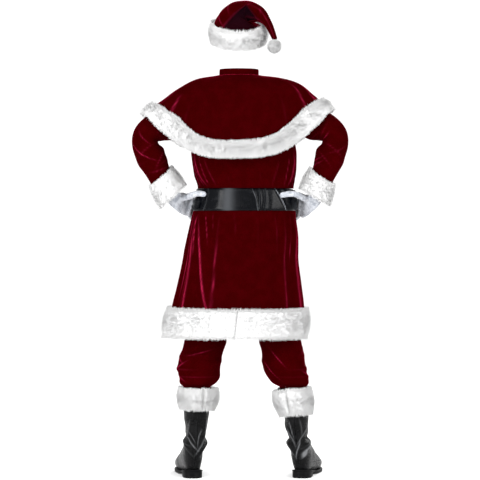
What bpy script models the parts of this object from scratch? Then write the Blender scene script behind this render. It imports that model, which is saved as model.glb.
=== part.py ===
"""A Santa suit of red velvet and white fur, worn with the hands on the hips.

The suit is worked out standing on the floor, facing -Y, with the wearer's left at +X.
One empty then moves it so that the origin is the base of the neck, where the wearer's
shoulders hold it up.  Angles round the body are degrees from the centre back (0) over
the wearer's left side (90) to the centre front (180); the right side is negative.
"""

import math

import bmesh
import bpy
from mathutils import Matrix, Vector

# ------------------------------------------------------------------ driving sizes, metres
NECK_HEIGHT = 1.560             # floor to the base of the neck, which is the origin
CLOTH = 0.0025                  # velvet with its backing
LEATHER = 0.0024                # boot uppers
STRAP = 0.0032                  # belt strap
GLOVE_CLOTH = 0.0016
SEAM = 0.0003                   # clear between two pieces that touch
FACING = 0.0005                 # clear between a piece and the panel that it lies on

ARMPIT_HEIGHT = 1.345
SHOULDER_HEIGHT = 1.491
HEM_HEIGHT = 0.546
HEM_FUR_TOP = 0.652
HEM_FUR_ROWS = 3                # of the coat's rows
HEM_FUR_DEPTH = 0.028
HEM_FUR_FLARE = 0.004           # thicker still at its foot
BELT_LOW = 1.034
BELT_HIGH = 1.120
BELT_PRESS = 0.030              # the belt presses the folds flat this far past its edges
NECK_ROW = 1.556

ARMHOLE_STEPS = 7               # rows of the coat from the armpit to the shoulder's tip
ARMHOLE_HALF_ANGLE = 40.0
BACK_COLUMNS = 24
FRONT_COLUMNS = 10
LIMB_COLUMNS = 2 * ARMHOLE_STEPS
LEG_COLUMNS = 14

# ------------------------------------------------------------------ tables


class Table:
    """Rows of sizes under named columns, read by a smooth curve along the first one."""

    def __init__(self, columns, *rows):
        self.columns = columns.split()
        self.rows = rows
        self.keys = [row[0] for row in rows]

    def at(self, key, name):
        values = [row[self.columns.index(name)] for row in self.rows]
        keys = self.keys
        if key <= keys[0]:
            return values[0]
        if key >= keys[-1]:
            return values[-1]
        low = max(i for i in range(len(keys) - 1) if keys[i] <= key)
        span = keys[low + 1] - keys[low]
        share = (key - keys[low]) / span

        def slope(i):
            before, after = max(i - 1, 0), min(i + 1, len(keys) - 1)
            return (values[after] - values[before]) / (keys[after] - keys[before]) * span

        start, end = values[low], values[low + 1]
        square, cube = share * share, share ** 3
        return (start * (2 * cube - 3 * square + 1) + slope(low) * (cube - 2 * square + share)
                + end * (3 * square - 2 * cube) + slope(low + 1) * (cube - square))


# The coat's sections, from the hem to the neck.
COAT = Table(
    "height side front back across behind",
    (0.540, 0.261, 0.190, 0.196, 0.030, 0.000),
    (0.655, 0.249, 0.178, 0.184, 0.017, 0.000),
    (0.750, 0.231, 0.166, 0.170, 0.010, 0.000),
    (0.850, 0.214, 0.155, 0.160, 0.005, 0.000),
    (0.940, 0.210, 0.148, 0.152, -0.004, 0.000),
    (1.025, 0.200, 0.140, 0.140, -0.008, 0.000),
    (1.077, 0.194, 0.136, 0.132, -0.015, 0.000),
    (1.125, 0.187, 0.134, 0.126, -0.014, 0.000),
    (1.180, 0.198, 0.138, 0.128, -0.010, 0.000),
    (1.260, 0.206, 0.138, 0.130, -0.007, 0.002),
    (1.350, 0.200, 0.130, 0.128, 0.004, 0.004),
    (1.430, 0.205, 0.108, 0.110, 0.010, 0.008),
    (1.492, 0.195, 0.072, 0.080, 0.012, 0.010),
    (1.515, 0.165, 0.066, 0.078, 0.012, 0.008),
    (1.537, 0.115, 0.064, 0.074, 0.012, 0.004),
    (1.556, 0.077, 0.062, 0.066, 0.012, 0.000),
)
BODY_SQUARENESS = 2.25          # 2 is an ellipse

# The folds of the coat, each a soft ridge from its top to its foot.
COAT_FOLDS = Table(
    "top_angle top_height foot_angle foot_height half_width lift",
    (66.0, 1.020, 49.0, 0.600, 7.5, 0.0120),
    (58.0, 1.010, 24.0, 0.660, 6.5, 0.0085),
    (25.0, 1.000, 21.5, 0.640, 7.0, 0.0065),
    (-24.0, 0.980, -24.0, 0.600, 7.5, 0.0060),
    (-47.0, 1.010, -45.0, 0.600, 7.0, 0.0085),
    (-72.0, 1.000, -68.0, 0.580, 7.5, 0.0110),
    (86.0, 1.015, 76.0, 0.570, 7.0, 0.0120),
    (-97.0, 1.010, -93.0, 0.560, 8.0, 0.0110),
    (110.0, 1.010, 102.0, 0.590, 8.0, 0.0100),
    (-122.0, 1.000, -118.0, 0.570, 8.0, 0.0110),
    (136.0, 1.015, 130.0, 0.590, 8.0, 0.0090),
    (-146.0, 1.010, -144.0, 0.600, 7.5, 0.0090),
    (158.0, 0.990, 155.0, 0.580, 7.5, 0.0070),
    (68.0, 1.260, 50.0, 1.130, 6.5, 0.0080),
    (46.0, 1.235, 34.0, 1.130, 6.0, 0.0055),
    (-68.0, 1.265, -58.0, 1.130, 6.5, 0.0080),
    (-38.0, 1.230, -30.0, 1.135, 6.0, 0.0050),
    (112.0, 1.240, 122.0, 1.130, 7.0, 0.0080),
    (-114.0, 1.250, -126.0, 1.130, 7.0, 0.0080),
    (140.0, 1.220, 148.0, 1.130, 7.0, 0.0060),
)

# The cape's lower edge on the left side; the right side is its mirror image.
CAPE_EDGE = Table(
    "angle out behind height",
    (0.0, 0.000, 0.176, 1.238),
    (20.0, 0.090, 0.172, 1.241),
    (38.0, 0.165, 0.158, 1.259),
    (53.0, 0.222, 0.143, 1.290),
    (64.0, 0.268, 0.130, 1.322),
    (73.0, 0.312, 0.117, 1.360),
    (82.0, 0.352, 0.080, 1.397),
    (90.0, 0.370, 0.022, 1.414),
    (98.0, 0.350, -0.032, 1.396),
    (107.0, 0.302, -0.066, 1.352),
    (118.0, 0.256, -0.098, 1.318),
    (132.0, 0.200, -0.132, 1.288),
    (155.0, 0.100, -0.160, 1.266),
    (180.0, 0.000, -0.168, 1.260),
)
CAPE_ACROSS = 0.012             # the shoulders lie a little to the wearer's left
CAPE_TILT = -0.020              # and the left one a little lower, per metre across
CAPE_RIGHT_REACH = 0.970        # the right elbow is held a little closer

# How the cape falls from the neck to its edge: shares of the way out and down.
CAPE_FALL = Table(
    "share side_out left_down right_down back_out back_down",
    (0.00, 0.00, 0.00, 0.00, 0.00, 0.00),
    (0.18, 0.30, 0.100, 0.075, 0.46, 0.115),
    (0.38, 0.56, 0.360, 0.240, 0.76, 0.320),
    (0.58, 0.74, 0.610, 0.520, 0.90, 0.545),
    (0.80, 0.89, 0.810, 0.780, 0.97, 0.785),
    (1.00, 1.00, 1.00, 1.00, 1.00, 1.00),
)
CAPE_FUR_EDGE = Table(          # share of the way down at which the cape's fur begins
    "angle share",
    (-180.0, 0.800),
    (-120.0, 0.780),
    (-90.0, 0.760),
    (-79.0, 0.710),
    (-70.0, 0.690),
    (-59.0, 0.715),
    (-47.0, 0.750),
    (-30.0, 0.800),
    (0.0, 0.830),
    (28.0, 0.815),
    (45.0, 0.770),
    (60.0, 0.690),
    (72.0, 0.700),
    (90.0, 0.760),
    (120.0, 0.780),
    (180.0, 0.800),
)
CAPE_ROWS = (0.0, 0.22, 0.47, 0.73, 1.0, 1.5, 2.0)   # 1 is the fur's upper edge, 2 its foot
CAPE_FUR_ROWS = 3               # its fur covers this many of the rows

# The arm's middle line from the shoulder over the elbow to the end of the cuff.
ARM = Table(
    "station left_out right_out behind height half_high half_low half_deep tilt",
    (1.0, 0.236, 0.229, 0.012, 1.416, 0.052, 0.066, 0.066, 0.0),
    (2.0, 0.272, 0.264, 0.022, 1.398, 0.052, 0.076, 0.063, 0.0),
    (3.0, 0.308, 0.298, 0.034, 1.377, 0.053, 0.077, 0.061, 0.0),
    (4.0, 0.342, 0.330, 0.044, 1.353, 0.055, 0.062, 0.060, 0.0),
    (5.0, 0.366, 0.352, 0.050, 1.323, 0.057, 0.046, 0.060, 0.0),
    (6.0, 0.370, 0.355, 0.052, 1.288, 0.056, 0.048, 0.059, 0.0),
    (7.0, 0.359, 0.345, 0.050, 1.248, 0.052, 0.062, 0.057, 4.0),
    (8.0, 0.339, 0.331, 0.045, 1.206, 0.048, 0.056, 0.055, 9.0),
    (9.0, 0.316, 0.311, 0.039, 1.164, 0.047, 0.050, 0.053, 13.0),
    (10.0, 0.293, 0.297, 0.034, 1.127, 0.051, 0.054, 0.056, 13.0),
    (11.0, 0.270, 0.284, 0.030, 1.090, 0.057, 0.060, 0.060, 13.0),
)
SLEEVE_FOLDS = Table(           # soft ridges across a sleeve, most at the bend of the elbow
    "station angle half_stations half_angle lift",
    (2.6, 120.0, 0.45, 40.0, 0.0040),
    (4.2, 110.0, 0.45, 40.0, 0.0045),
    (4.6, -80.0, 0.45, 50.0, 0.0045),
    (6.3, 95.0, 0.45, 50.0, 0.0050),
    (6.8, -100.0, 0.45, 50.0, 0.0045),
    (7.3, 20.0, 0.50, 50.0, 0.0040),
    (8.1, 170.0, 0.45, 60.0, 0.0035),
)

# The trousers' left leg from the boot to the fork, then the seat up to the waistband.
LEG = Table(
    "height left_out right_out behind half_wide half_deep",
    (0.350, 0.1755, 0.198, 0.020, 0.0525, 0.0555),
    (0.364, 0.172, 0.189, 0.018, 0.0710, 0.0730),
    (0.385, 0.165, 0.179, 0.015, 0.0785, 0.0800),
    (0.415, 0.167, 0.166, 0.012, 0.0820, 0.0830),
    (0.450, 0.165, 0.162, 0.009, 0.0825, 0.0840),
    (0.500, 0.150, 0.155, 0.006, 0.0810, 0.0850),
    (0.570, 0.136, 0.140, 0.003, 0.0830, 0.0880),
    (0.660, 0.122, 0.124, -0.002, 0.0880, 0.0930),
    (0.740, 0.108, 0.110, 0.000, 0.0920, 0.1020),
    (0.800, 0.103, 0.103, 0.002, 0.0950, 0.1120),
)
FORK_HEIGHT = 0.770
SEAT_HEIGHT = 0.860
SEAT_ROOM = 0.0034              # between coat and trousers at the waist
SEAT_TAPER = 0.05               # and more of it for every metre further down
LEG_TOP = 1.0463                # the waistband begins just above
LEG_ROWS = (0.350, 0.363, 0.384, 0.408, 0.436, 0.472, 0.530, 0.610, 0.700, 0.770,
            0.830, 0.900, 0.970, LEG_TOP)
WAISTBAND_ROWS = (0.155, 0.62)   # shares of the belt's height
LEG_TUCK = (0.85, 0.20)         # boot stations between which the leg is tucked in
LEG_FOLDS = Table(              # soft ridges across a leg, where the cloth piles on the boot
    "height angle half_height half_angle lift",
    (0.392, 250.0, 0.010, 70.0, 0.0045),
    (0.420, 190.0, 0.012, 60.0, 0.0060),
    (0.447, 300.0, 0.012, 60.0, 0.0055),
    (0.475, 230.0, 0.014, 60.0, 0.0050),
    (0.450, 60.0, 0.014, 60.0, 0.0050),
    (0.520, 20.0, 0.020, 60.0, 0.0040),
)

# A boot in its own frame: forward along the foot, outward, and up from the floor.
BOOT = Table(
    "station forward left_lean right_lean height tilt half_wide to_front to_back",
    (0.0, 0.000, 0.0195, 0.0400, 0.345, 0.0, 0.0590, 0.0620, 0.0620),
    (1.0, 0.000, 0.0195, 0.0340, 0.297, 0.0, 0.0570, 0.0600, 0.0600),
    (2.0, 0.000, 0.0180, 0.0265, 0.248, 0.0, 0.0500, 0.0550, 0.0560),
    (3.0, 0.000, 0.0170, 0.0235, 0.205, 2.0, 0.0440, 0.0500, 0.0500),
    (4.0, 0.000, 0.0155, 0.0210, 0.168, 6.0, 0.0395, 0.0470, 0.0470),
    (5.0, 0.000, 0.0120, 0.0160, 0.135, 16.0, 0.0440, 0.0530, 0.0510),
    (6.0, 0.004, 0.0060, 0.0095, 0.106, 32.0, 0.0400, 0.0600, 0.0660),
    (7.0, 0.020, 0.0020, 0.0040, 0.085, 48.0, 0.0380, 0.0620, 0.0940),
    (8.0, 0.050, 0.0000, 0.0000, 0.070, 62.0, 0.0390, 0.0580, 0.0700),
    (9.0, 0.090, 0.0000, 0.0000, 0.056, 75.0, 0.0430, 0.0480, 0.0600),
    (10.0, 0.135, 0.0000, 0.0000, 0.045, 84.0, 0.0480, 0.0360, 0.0500),
    (11.0, 0.176, 0.0000, 0.0000, 0.037, 90.0, 0.0480, 0.0280, 0.0400),
    (12.0, 0.208, 0.0000, 0.0000, 0.032, 92.0, 0.0410, 0.0220, 0.0300),
    (13.0, 0.230, 0.0000, 0.0000, 0.028, 94.0, 0.0260, 0.0130, 0.0200),
)
BOOT_TOE = 0.241                # forward of the ankle
SOLE = Table(                   # the sole and its heel, in the same frame
    "forward half_wide foot",
    (-0.062, 0.014, 0.000),
    (-0.052, 0.030, 0.000),
    (-0.030, 0.038, 0.000),
    (0.018, 0.038, 0.000),
    (0.019, 0.038, 0.017),
    (0.055, 0.037, 0.010),
    (0.094, 0.044, 0.000),
    (0.140, 0.049, 0.000),
    (0.180, 0.049, 0.000),
    (0.212, 0.042, 0.000),
    (0.234, 0.028, 0.000),
    (0.246, 0.010, 0.000),
)
HEEL_TOP = 0.034                # at the back of the heel, falling straight to the ball
SOLE_TOP = 0.013
BALL = 0.095                    # forward of the ankle
FEET = {"left": (0.195, 0.020, 8.0), "right": (-0.237, 0.018, 11.0)}   # x, y, toe out

# The gloved hands lie round the hips: places on the coat, and how far off it.
HAND_WRIST = {"left": (0.293, 0.036, 1.120), "right": (0.299, 0.036, 1.120)}
HAND_HEEL = {"left": (0.262, 0.028, 1.076), "right": (0.277, 0.028, 1.074)}
KNUCKLES = (98.0, 1.046, 0.026)
FINGERS = Table(
    "order root_angle root_height tip_angle tip_height radius",
    (0.0, 100.0, 1.076, 126.0, 1.055, 0.0108),
    (1.0, 100.0, 1.057, 131.0, 1.034, 0.0112),
    (2.0, 100.0, 1.038, 129.0, 1.012, 0.0108),
    (3.0, 100.0, 1.020, 121.0, 0.994, 0.0098),
)
FINGER_OFF = {"left": 0.0183, "right": 0.0201}   # middle of a finger off the coat
THUMB = {"left": ((79.0, 1.082, 0.036), (68.0, 1.093, 0.024), (60.0, 1.097, 0.019),
                  (50.0, 1.094, 0.018)),
         "right": ((79.0, 1.080, 0.036), (66.0, 1.092, 0.0215), (55.0, 1.096, 0.0144),
                   (41.0, 1.091, 0.0132))}
THUMB_RADIUS = 0.0112
PALM_HALF_WIDE = 0.040
PALM_HALF_THICK = 0.0145

# The hat's middle line: up through the fur band, over to the right and down to the pompom.
HAT = Table(
    "station out behind height half_wide half_deep",
    (0.0, 0.014, -0.010, 1.699, 0.094, 0.114),
    (1.0, 0.014, -0.002, 1.729, 0.095, 0.115),
    (2.0, 0.014, 0.006, 1.758, 0.094, 0.112),
    (3.0, 0.008, 0.012, 1.784, 0.084, 0.098),
    (4.0, -0.006, 0.017, 1.804, 0.055, 0.080),
    (5.0, -0.033, 0.026, 1.814, 0.034, 0.056),
    (6.0, -0.069, 0.042, 1.797, 0.025, 0.036),
    (7.0, -0.096, 0.064, 1.763, 0.016, 0.021),
    (8.0, -0.114, 0.080, 1.727, 0.012, 0.014),
    (9.0, -0.127, 0.088, 1.694, 0.009, 0.010),
)
HAT_DIP = 0.016                 # how much lower its edge is at the back
POMPOM = (-0.1245, 0.094, 1.6665)
POMPOM_RADIUS = 0.026

# ------------------------------------------------------------------ colours


def finish(name, colour, roughness, metallic=0.0):
    made = bpy.data.materials.new(name)
    made.use_nodes = True
    shader = made.node_tree.nodes["Principled BSDF"]
    shader.inputs["Base Color"].default_value = (*colour, 1.0)
    shader.inputs["Roughness"].default_value = roughness
    shader.inputs["Metallic"].default_value = metallic
    return made


for leftover in list(bpy.data.objects):
    bpy.data.objects.remove(leftover)

VELVET = finish("velvet", (0.100, 0.004, 0.010), 0.85)
FUR = finish("fur", (0.860, 0.860, 0.850), 0.95)
VINYL = finish("vinyl", (0.006, 0.006, 0.007), 0.28)
BOOT_LEATHER = finish("boot_leather", (0.012, 0.012, 0.013), 0.40)
RUBBER = finish("rubber", (0.010, 0.010, 0.010), 0.70)
GLOVE_COTTON = finish("glove_cotton", (0.800, 0.800, 0.800), 0.90)
BRASS = finish("brass", (0.620, 0.440, 0.160), 0.30, 1.0)

ROOT = bpy.data.objects.new("suit", None)
ROOT.location = (0.0, 0.0, -NECK_HEIGHT)
bpy.context.collection.objects.link(ROOT)

# ------------------------------------------------------------------ solids


def solid(name, points, faces, material):
    """One closed body, named after its piece."""
    mesh = bpy.data.meshes.new(name)
    mesh.from_pydata([tuple(p) for p in points], [], faces)
    turned_out = bmesh.new()
    turned_out.from_mesh(mesh)
    bmesh.ops.recalc_face_normals(turned_out, faces=turned_out.faces)
    turned_out.to_mesh(mesh)
    turned_out.free()
    mesh.materials.append(material)
    mesh.shade_smooth()
    piece = bpy.data.objects.new(name, mesh)
    piece.parent = ROOT
    bpy.context.collection.objects.link(piece)
    return piece


def cross_normal(surface, u, v, step_u, step_v):
    along_u = surface(u + step_u, v) - surface(u - step_u, v)
    along_v = surface(u, v + step_v) - surface(u, v - step_v)
    return along_v.cross(along_u).normalized()


def survey(surface, columns, rows, step_u, step_v):
    """A surface's points and outward normals; columns(v) gives the places across row v."""
    points, normals = [], []
    for v in rows:
        across = columns(v)
        points.append([surface(u, v) for u in across])
        normals.append([cross_normal(surface, u, v, step_u, step_v) for u in across])
    outward = 0.0
    for line, directions in zip(points, normals):
        middle = sum(line, Vector()) / len(line)
        outward += sum((p - middle).dot(n) for p, n in zip(line, directions))
    if outward < 0.0:
        normals = [[-n for n in line] for line in normals]
    return points, normals


def toward(point, other, distance):
    return point + (other - point).normalized() * distance


def drawn_in(points, ring):
    """The same points with the cut edges drawn in by half a seam."""
    pull = 0.6 * SEAM
    moved = [list(line) for line in points]
    for j in range(len(points[0])):
        moved[0][j] = toward(points[0][j], points[1][j], pull)
        moved[-1][j] = toward(points[-1][j], points[-2][j], pull)
    if not ring:
        for line, source in zip(moved, points):
            line[0] = line[0] + (source[1] - source[0]).normalized() * pull
            line[-1] = line[-1] + (source[-2] - source[-1]).normalized() * pull
    return moved


def wall(name, surveyed, thickness, material, ring=False, lift=0.0, tip=None):
    """Cloth of one thickness whose outer side is the surveyed surface, lifted."""
    points, normals = drawn_in(surveyed[0], ring), surveyed[1]
    outer = moved_out(points, normals, lift)
    inner = moved_out(points, normals, lift - thickness)
    inner_tip = None if tip is None else toward(tip, sum(outer[-1], Vector()) / len(outer[-1]),
                                                thickness)
    return shell(name, outer, inner, material, ring, tip, inner_tip)


def shell(name, outer, inner, material, ring, tip, inner_tip):
    """Closes the space between two like grids into one solid; the tips close its far end."""
    rows, across = len(outer), len(outer[0])
    points = [p for line in outer for p in line] + [p for line in inner for p in line]
    back = rows * across
    steps = range(across) if ring else range(across - 1)

    def at(i, j, side=0):
        return side + i * across + j % across

    faces = []
    for i in range(rows - 1):
        for j in steps:
            faces.append((at(i, j), at(i + 1, j), at(i + 1, j + 1), at(i, j + 1)))
            faces.append((at(i, j, back), at(i, j + 1, back),
                          at(i + 1, j + 1, back), at(i + 1, j, back)))
    for j in steps:
        faces.append((at(0, j), at(0, j + 1), at(0, j + 1, back), at(0, j, back)))
        if tip is None:
            faces.append((at(rows - 1, j + 1), at(rows - 1, j),
                          at(rows - 1, j, back), at(rows - 1, j + 1, back)))
    if tip is not None:
        points += [tip, inner_tip]
        for j in steps:
            faces.append((at(rows - 1, j), len(points) - 2, at(rows - 1, j + 1)))
            faces.append((at(rows - 1, j + 1, back), len(points) - 1, at(rows - 1, j, back)))
    if not ring:
        last = across - 1
        for i in range(rows - 1):
            faces.append((at(i + 1, 0), at(i, 0), at(i, 0, back), at(i + 1, 0, back)))
            faces.append((at(i, last), at(i + 1, last),
                          at(i + 1, last, back), at(i, last, back)))
    return solid(name, points, faces, material)


BAND_STEPS = 3                  # across the rounded side of a fur band
BAND_EDGE = 0.35                # how blunt its two edges are: 0 is sharp, 1 is square


def band(name, surveyed, depth, swell, material, ring=False):
    """Fur over the surveyed rows: flat on the panel, and rounded on its outer side."""
    points, normals = drawn_in(surveyed[0], ring), surveyed[1]
    shares = [k / BAND_STEPS for k in range(BAND_STEPS + 1)]
    last_row = len(points) - 1
    outer = []
    for share, line, directions in zip(shares, *between_rows(
            (points, normals), [share * last_row for share in shares])):
        bulge = math.sin(math.pi * (0.5 * BAND_EDGE + share * (1.0 - BAND_EDGE)))
        lift = depth * bulge + swell * (1.0 - share)
        outer.append([p + n * lift for p, n in zip(line, directions)])
    loops = moved_out(points, normals, FACING) + outer[::-1]
    across, count = len(points[0]), len(loops)
    faces = []
    for i in range(count):
        following = (i + 1) % count
        for j in range(across if ring else across - 1):
            right = (j + 1) % across
            faces.append((i * across + j, i * across + right,
                          following * across + right, following * across + j))
    if not ring:
        faces.append(tuple(i * across for i in range(count)))
        faces.append(tuple(i * across + across - 1 for i in reversed(range(count))))
    return solid(name, [p for line in loops for p in line], faces, material)


# ------------------------------------------------------------------ grids of points, normals


def moved_out(points, normals, distance):
    return [[p + n * distance for p, n in zip(*pair)] for pair in zip(points, normals)]


def raised(surveyed, lifts):
    """The same rows moved out, each column by its own lift."""
    points, normals = surveyed
    return ([[p + n * lift for p, n, lift in zip(line, directions, lifts)]
             for line, directions in zip(points, normals)], normals)


def rows_of(surveyed, first, last):
    return surveyed[0][first:last], surveyed[1][first:last]


def columns_of(surveyed, first, last):
    return [line[first:last] for line in surveyed[0]], [line[first:last] for line in surveyed[1]]


def beside(*parts):
    """Grids that lie side by side, as one grid; the shared column is kept once."""
    points = [list(line) for line in parts[0][0]]
    normals = [list(line) for line in parts[0][1]]
    for more_points, more_normals in parts[1:]:
        for i, line in enumerate(more_points):
            points[i] += line[1:]
            normals[i] += more_normals[i][1:]
    return points, normals


def between_rows(surveyed, places):
    """Rows part of the way between a grid's own rows, on its flat facets."""

    def blended(grid, place):
        low = min(int(place), len(grid) - 2)
        return [p.lerp(q, place - low) for p, q in zip(grid[low], grid[low + 1])]

    points, normals = surveyed
    return ([blended(points, place) for place in places],
            [[n.normalized() for n in blended(normals, place)] for place in places])


def spread(start, end, count):
    return [start + (end - start) * i / count for i in range(count + 1)]


def ridge(distance):
    return math.exp(-distance * distance)


# ------------------------------------------------------------------ coat


def wrapped(angle):
    return (angle + 180.0) % 360.0 - 180.0


def signed_power(value, power):
    return math.copysign(abs(value) ** power, value)


def coat_folds(angle, height):
    lift = 0.0
    for top_angle, top_height, foot_angle, foot_height, half_width, rise in COAT_FOLDS.rows:
        share = (top_height - height) / (top_height - foot_height)
        if -0.25 < share < 1.3:
            middle = top_angle + (foot_angle - top_angle) * share
            fade = min(1.0, max(0.0, (share + 0.05) / 0.35)) * min(1.0, (1.3 - share) / 0.4)
            lift += rise * fade * ridge(wrapped(angle - middle) / half_width)
    from_belt = max(height - BELT_HIGH, BELT_LOW - height)
    return lift * min(1.0, max(0.0, from_belt / BELT_PRESS))


def coat_surface(angle, height):
    power = 2.0 / BODY_SQUARENESS
    turn = math.radians(angle)
    depth = COAT.at(height, "back") if math.cos(turn) > 0 else COAT.at(height, "front")
    across = signed_power(math.sin(turn), power) * COAT.at(height, "side")
    behind = signed_power(math.cos(turn), power) * depth
    flat = Vector((across, behind, 0.0))
    lift = coat_folds(angle, height)
    return (flat + flat.normalized() * lift
            + Vector((COAT.at(height, "across"), COAT.at(height, "behind"), height)))


ARMHOLE_ROWS = [
    ARMPIT_HEIGHT + (SHOULDER_HEIGHT - ARMPIT_HEIGHT) * 0.5
    * (1.0 - math.cos(math.pi * k / ARMHOLE_STEPS)) for k in range(ARMHOLE_STEPS + 1)]
SKIRT_ROWS = [HEM_HEIGHT, 0.5 * (HEM_HEIGHT + HEM_FUR_TOP), HEM_FUR_TOP,
              0.725, 0.805, 0.885, 0.965]
BELT_ROWS = [BELT_LOW, BELT_HIGH]
BODICE_ROWS = [1.175, 1.255]
NECK_ROWS = [1.515, 1.537, NECK_ROW]
COAT_ROWS = SKIRT_ROWS + BELT_ROWS + BODICE_ROWS + ARMHOLE_ROWS + NECK_ROWS
FIRST_BELT_ROW = len(SKIRT_ROWS)


def side_edge(height):
    """Half the armhole's width in degrees, or none where back and front meet."""
    if height <= ARMPIT_HEIGHT or height >= SHOULDER_HEIGHT:
        return 0.0
    middle = 0.5 * (ARMPIT_HEIGHT + SHOULDER_HEIGHT)
    share = (height - middle) / (SHOULDER_HEIGHT - middle)
    return ARMHOLE_HALF_ANGLE * math.sqrt(max(0.0, 1.0 - share * share))


def coat_survey(start, end, count, start_sign, end_sign):
    """A panel from one side edge to another; the signs say which way an armhole cuts in."""

    def columns(height):
        cut = side_edge(height)
        return spread(start + start_sign * cut, end + end_sign * cut, count)

    return survey(coat_surface, columns, COAT_ROWS, 2.0, 0.004)


BACK = coat_survey(-90.0, 90.0, BACK_COLUMNS, 1.0, -1.0)
FRONT_LEFT = coat_survey(90.0, 180.0, FRONT_COLUMNS, 1.0, 0.0)
FRONT_RIGHT = coat_survey(-180.0, -90.0, FRONT_COLUMNS, 0.0, -1.0)


AROUND = columns_of(beside(FRONT_RIGHT, BACK, FRONT_LEFT), 0, -1)   # from the centre front


def make_coat():
    wall("coat_back", BACK, CLOTH, VELVET)
    wall("coat_front_left", FRONT_LEFT, CLOTH, VELVET)
    wall("coat_front_right", FRONT_RIGHT, CLOTH, VELVET)
    middle = BACK_COLUMNS // 2
    left = beside(columns_of(BACK, middle, None), FRONT_LEFT)
    right = beside(FRONT_RIGHT, columns_of(BACK, 0, middle + 1))
    band("hem_fur_left", rows_of(left, 0, HEM_FUR_ROWS), HEM_FUR_DEPTH, HEM_FUR_FLARE, FUR)
    band("hem_fur_right", rows_of(right, 0, HEM_FUR_ROWS), HEM_FUR_DEPTH, HEM_FUR_FLARE, FUR)


PLACKET = 0.0018
PLACKET_SHARE = 0.7             # of the column next to the centre front
PLACKET_OFF_FUR = 0.03          # of a row, above the hem's fur
PLACKET_TOP_ROW = len(COAT_ROWS) - 3


def make_placket():
    """A plain strip over the hidden zip, from the fur hem to the chest."""
    places = [HEM_FUR_ROWS - 1 + PLACKET_OFF_FUR] + list(range(HEM_FUR_ROWS, PLACKET_TOP_ROW + 1))
    left = between_rows(FRONT_LEFT, places)
    right = between_rows(FRONT_RIGHT, places)
    points, normals = ([[a[-1].lerp(a[-2], PLACKET_SHARE), b[0], b[0].lerp(b[1], PLACKET_SHARE)]
                        for a, b in zip(left[grid], right[grid])] for grid in (0, 1))
    strip = (points, [[n.normalized() for n in line] for line in normals])
    wall("front_placket", strip, PLACKET, VELVET, lift=FACING + PLACKET)


def make_collar():
    """A plain stand collar on the neckline, open at the centre front."""
    rise = Table("height swell", (NECK_ROW, 0.0), (NECK_ROW + 0.030, -0.003))

    def surface(angle, height):
        return (coat_surface(angle, NECK_ROW) * (1.0 + rise.at(height, "swell"))
                - Vector((0.0, 0.0, NECK_ROW * (1.0 + rise.at(height, "swell")) - height)))

    rows = [NECK_ROW + 2 * SEAM, NECK_ROW + 0.015, NECK_ROW + 0.029]
    around = survey(surface, lambda height: spread(-180.0, 180.0, 24), rows, 2.0, 0.004)
    wall("collar", around, CLOTH, VELVET)


# ------------------------------------------------------------------ sleeves


def side_sign(side):
    return 1.0 if side == "left" else -1.0


def mirrored(point, side):
    return Vector((side_sign(side) * point.x, point.y, point.z))


def armhole(side, turn):
    """The armhole's seam; turn 0 is the shoulder's tip, 90 the back, 180 the armpit."""
    middle = 0.5 * (ARMPIT_HEIGHT + SHOULDER_HEIGHT)
    half = 0.5 * (SHOULDER_HEIGHT - ARMPIT_HEIGHT)
    height = middle + half * math.cos(math.radians(turn))
    angle = 90.0 - ARMHOLE_HALF_ANGLE * math.sin(math.radians(turn))
    return mirrored(coat_surface(side_sign(side) * angle, height), side)


def arm_middle(side, station):
    return Vector((ARM.at(station, side + "_out"), ARM.at(station, "behind"),
                   ARM.at(station, "height")))


def arm_frame(side, station):
    along = (arm_middle(side, station + 0.3) - arm_middle(side, station - 0.3)).normalized()
    backward = Vector((0.0, 1.0, 0.0))
    backward = (backward - along * along.dot(backward)).normalized()
    outward = along.cross(backward).normalized()
    tilt = math.radians(ARM.at(station, "tilt"))
    return (along, outward * math.cos(tilt) + along * math.sin(tilt), backward)


def sleeve_surface(side):
    def surface(turn, station):
        held = max(station, 1.0)
        _, outward, backward = arm_frame(side, held)
        angle = math.radians(turn)
        lift = sum(rise * ridge((station - place) / half_stations)
                   * ridge(wrapped(turn - middle) / half_angle)
                   for place, middle, half_stations, half_angle, rise in SLEEVE_FOLDS.rows)
        reach = ARM.at(held, "half_high" if math.cos(angle) > 0 else "half_low")
        ring = (arm_middle(side, held)
                + outward * math.cos(angle) * (reach + lift)
                + backward * math.sin(angle) * (ARM.at(held, "half_deep") + lift))
        share = min(max(station, 0.0), 1.0)
        return mirrored(armhole(side, turn).lerp(ring, share), side)

    return surface


SLEEVE_STATIONS = (0.0, 0.4, 1.0, 2.0, 3.0, 4.0, 5.0, 6.0, 7.0, 8.0, 9.0, 10.0, 11.0)
CUFF_ROWS = 3


def make_sleeve(side):
    turns = spread(0.0, 360.0, LIMB_COLUMNS)
    sleeve = survey(sleeve_surface(side), lambda station: turns, SLEEVE_STATIONS, 6.0, 0.08)
    half = LIMB_COLUMNS // 2
    wall("sleeve_back_" + side, columns_of(sleeve, 0, half + 1), CLOTH, VELVET)
    wall("sleeve_front_" + side, columns_of(sleeve, half, None), CLOTH, VELVET)
    cuff = columns_of(rows_of(sleeve, -CUFF_ROWS, None), 0, -1)
    band("cuff_fur_" + side, cuff, 0.014, 0.003, FUR, ring=True)


# ------------------------------------------------------------------ cape


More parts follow.
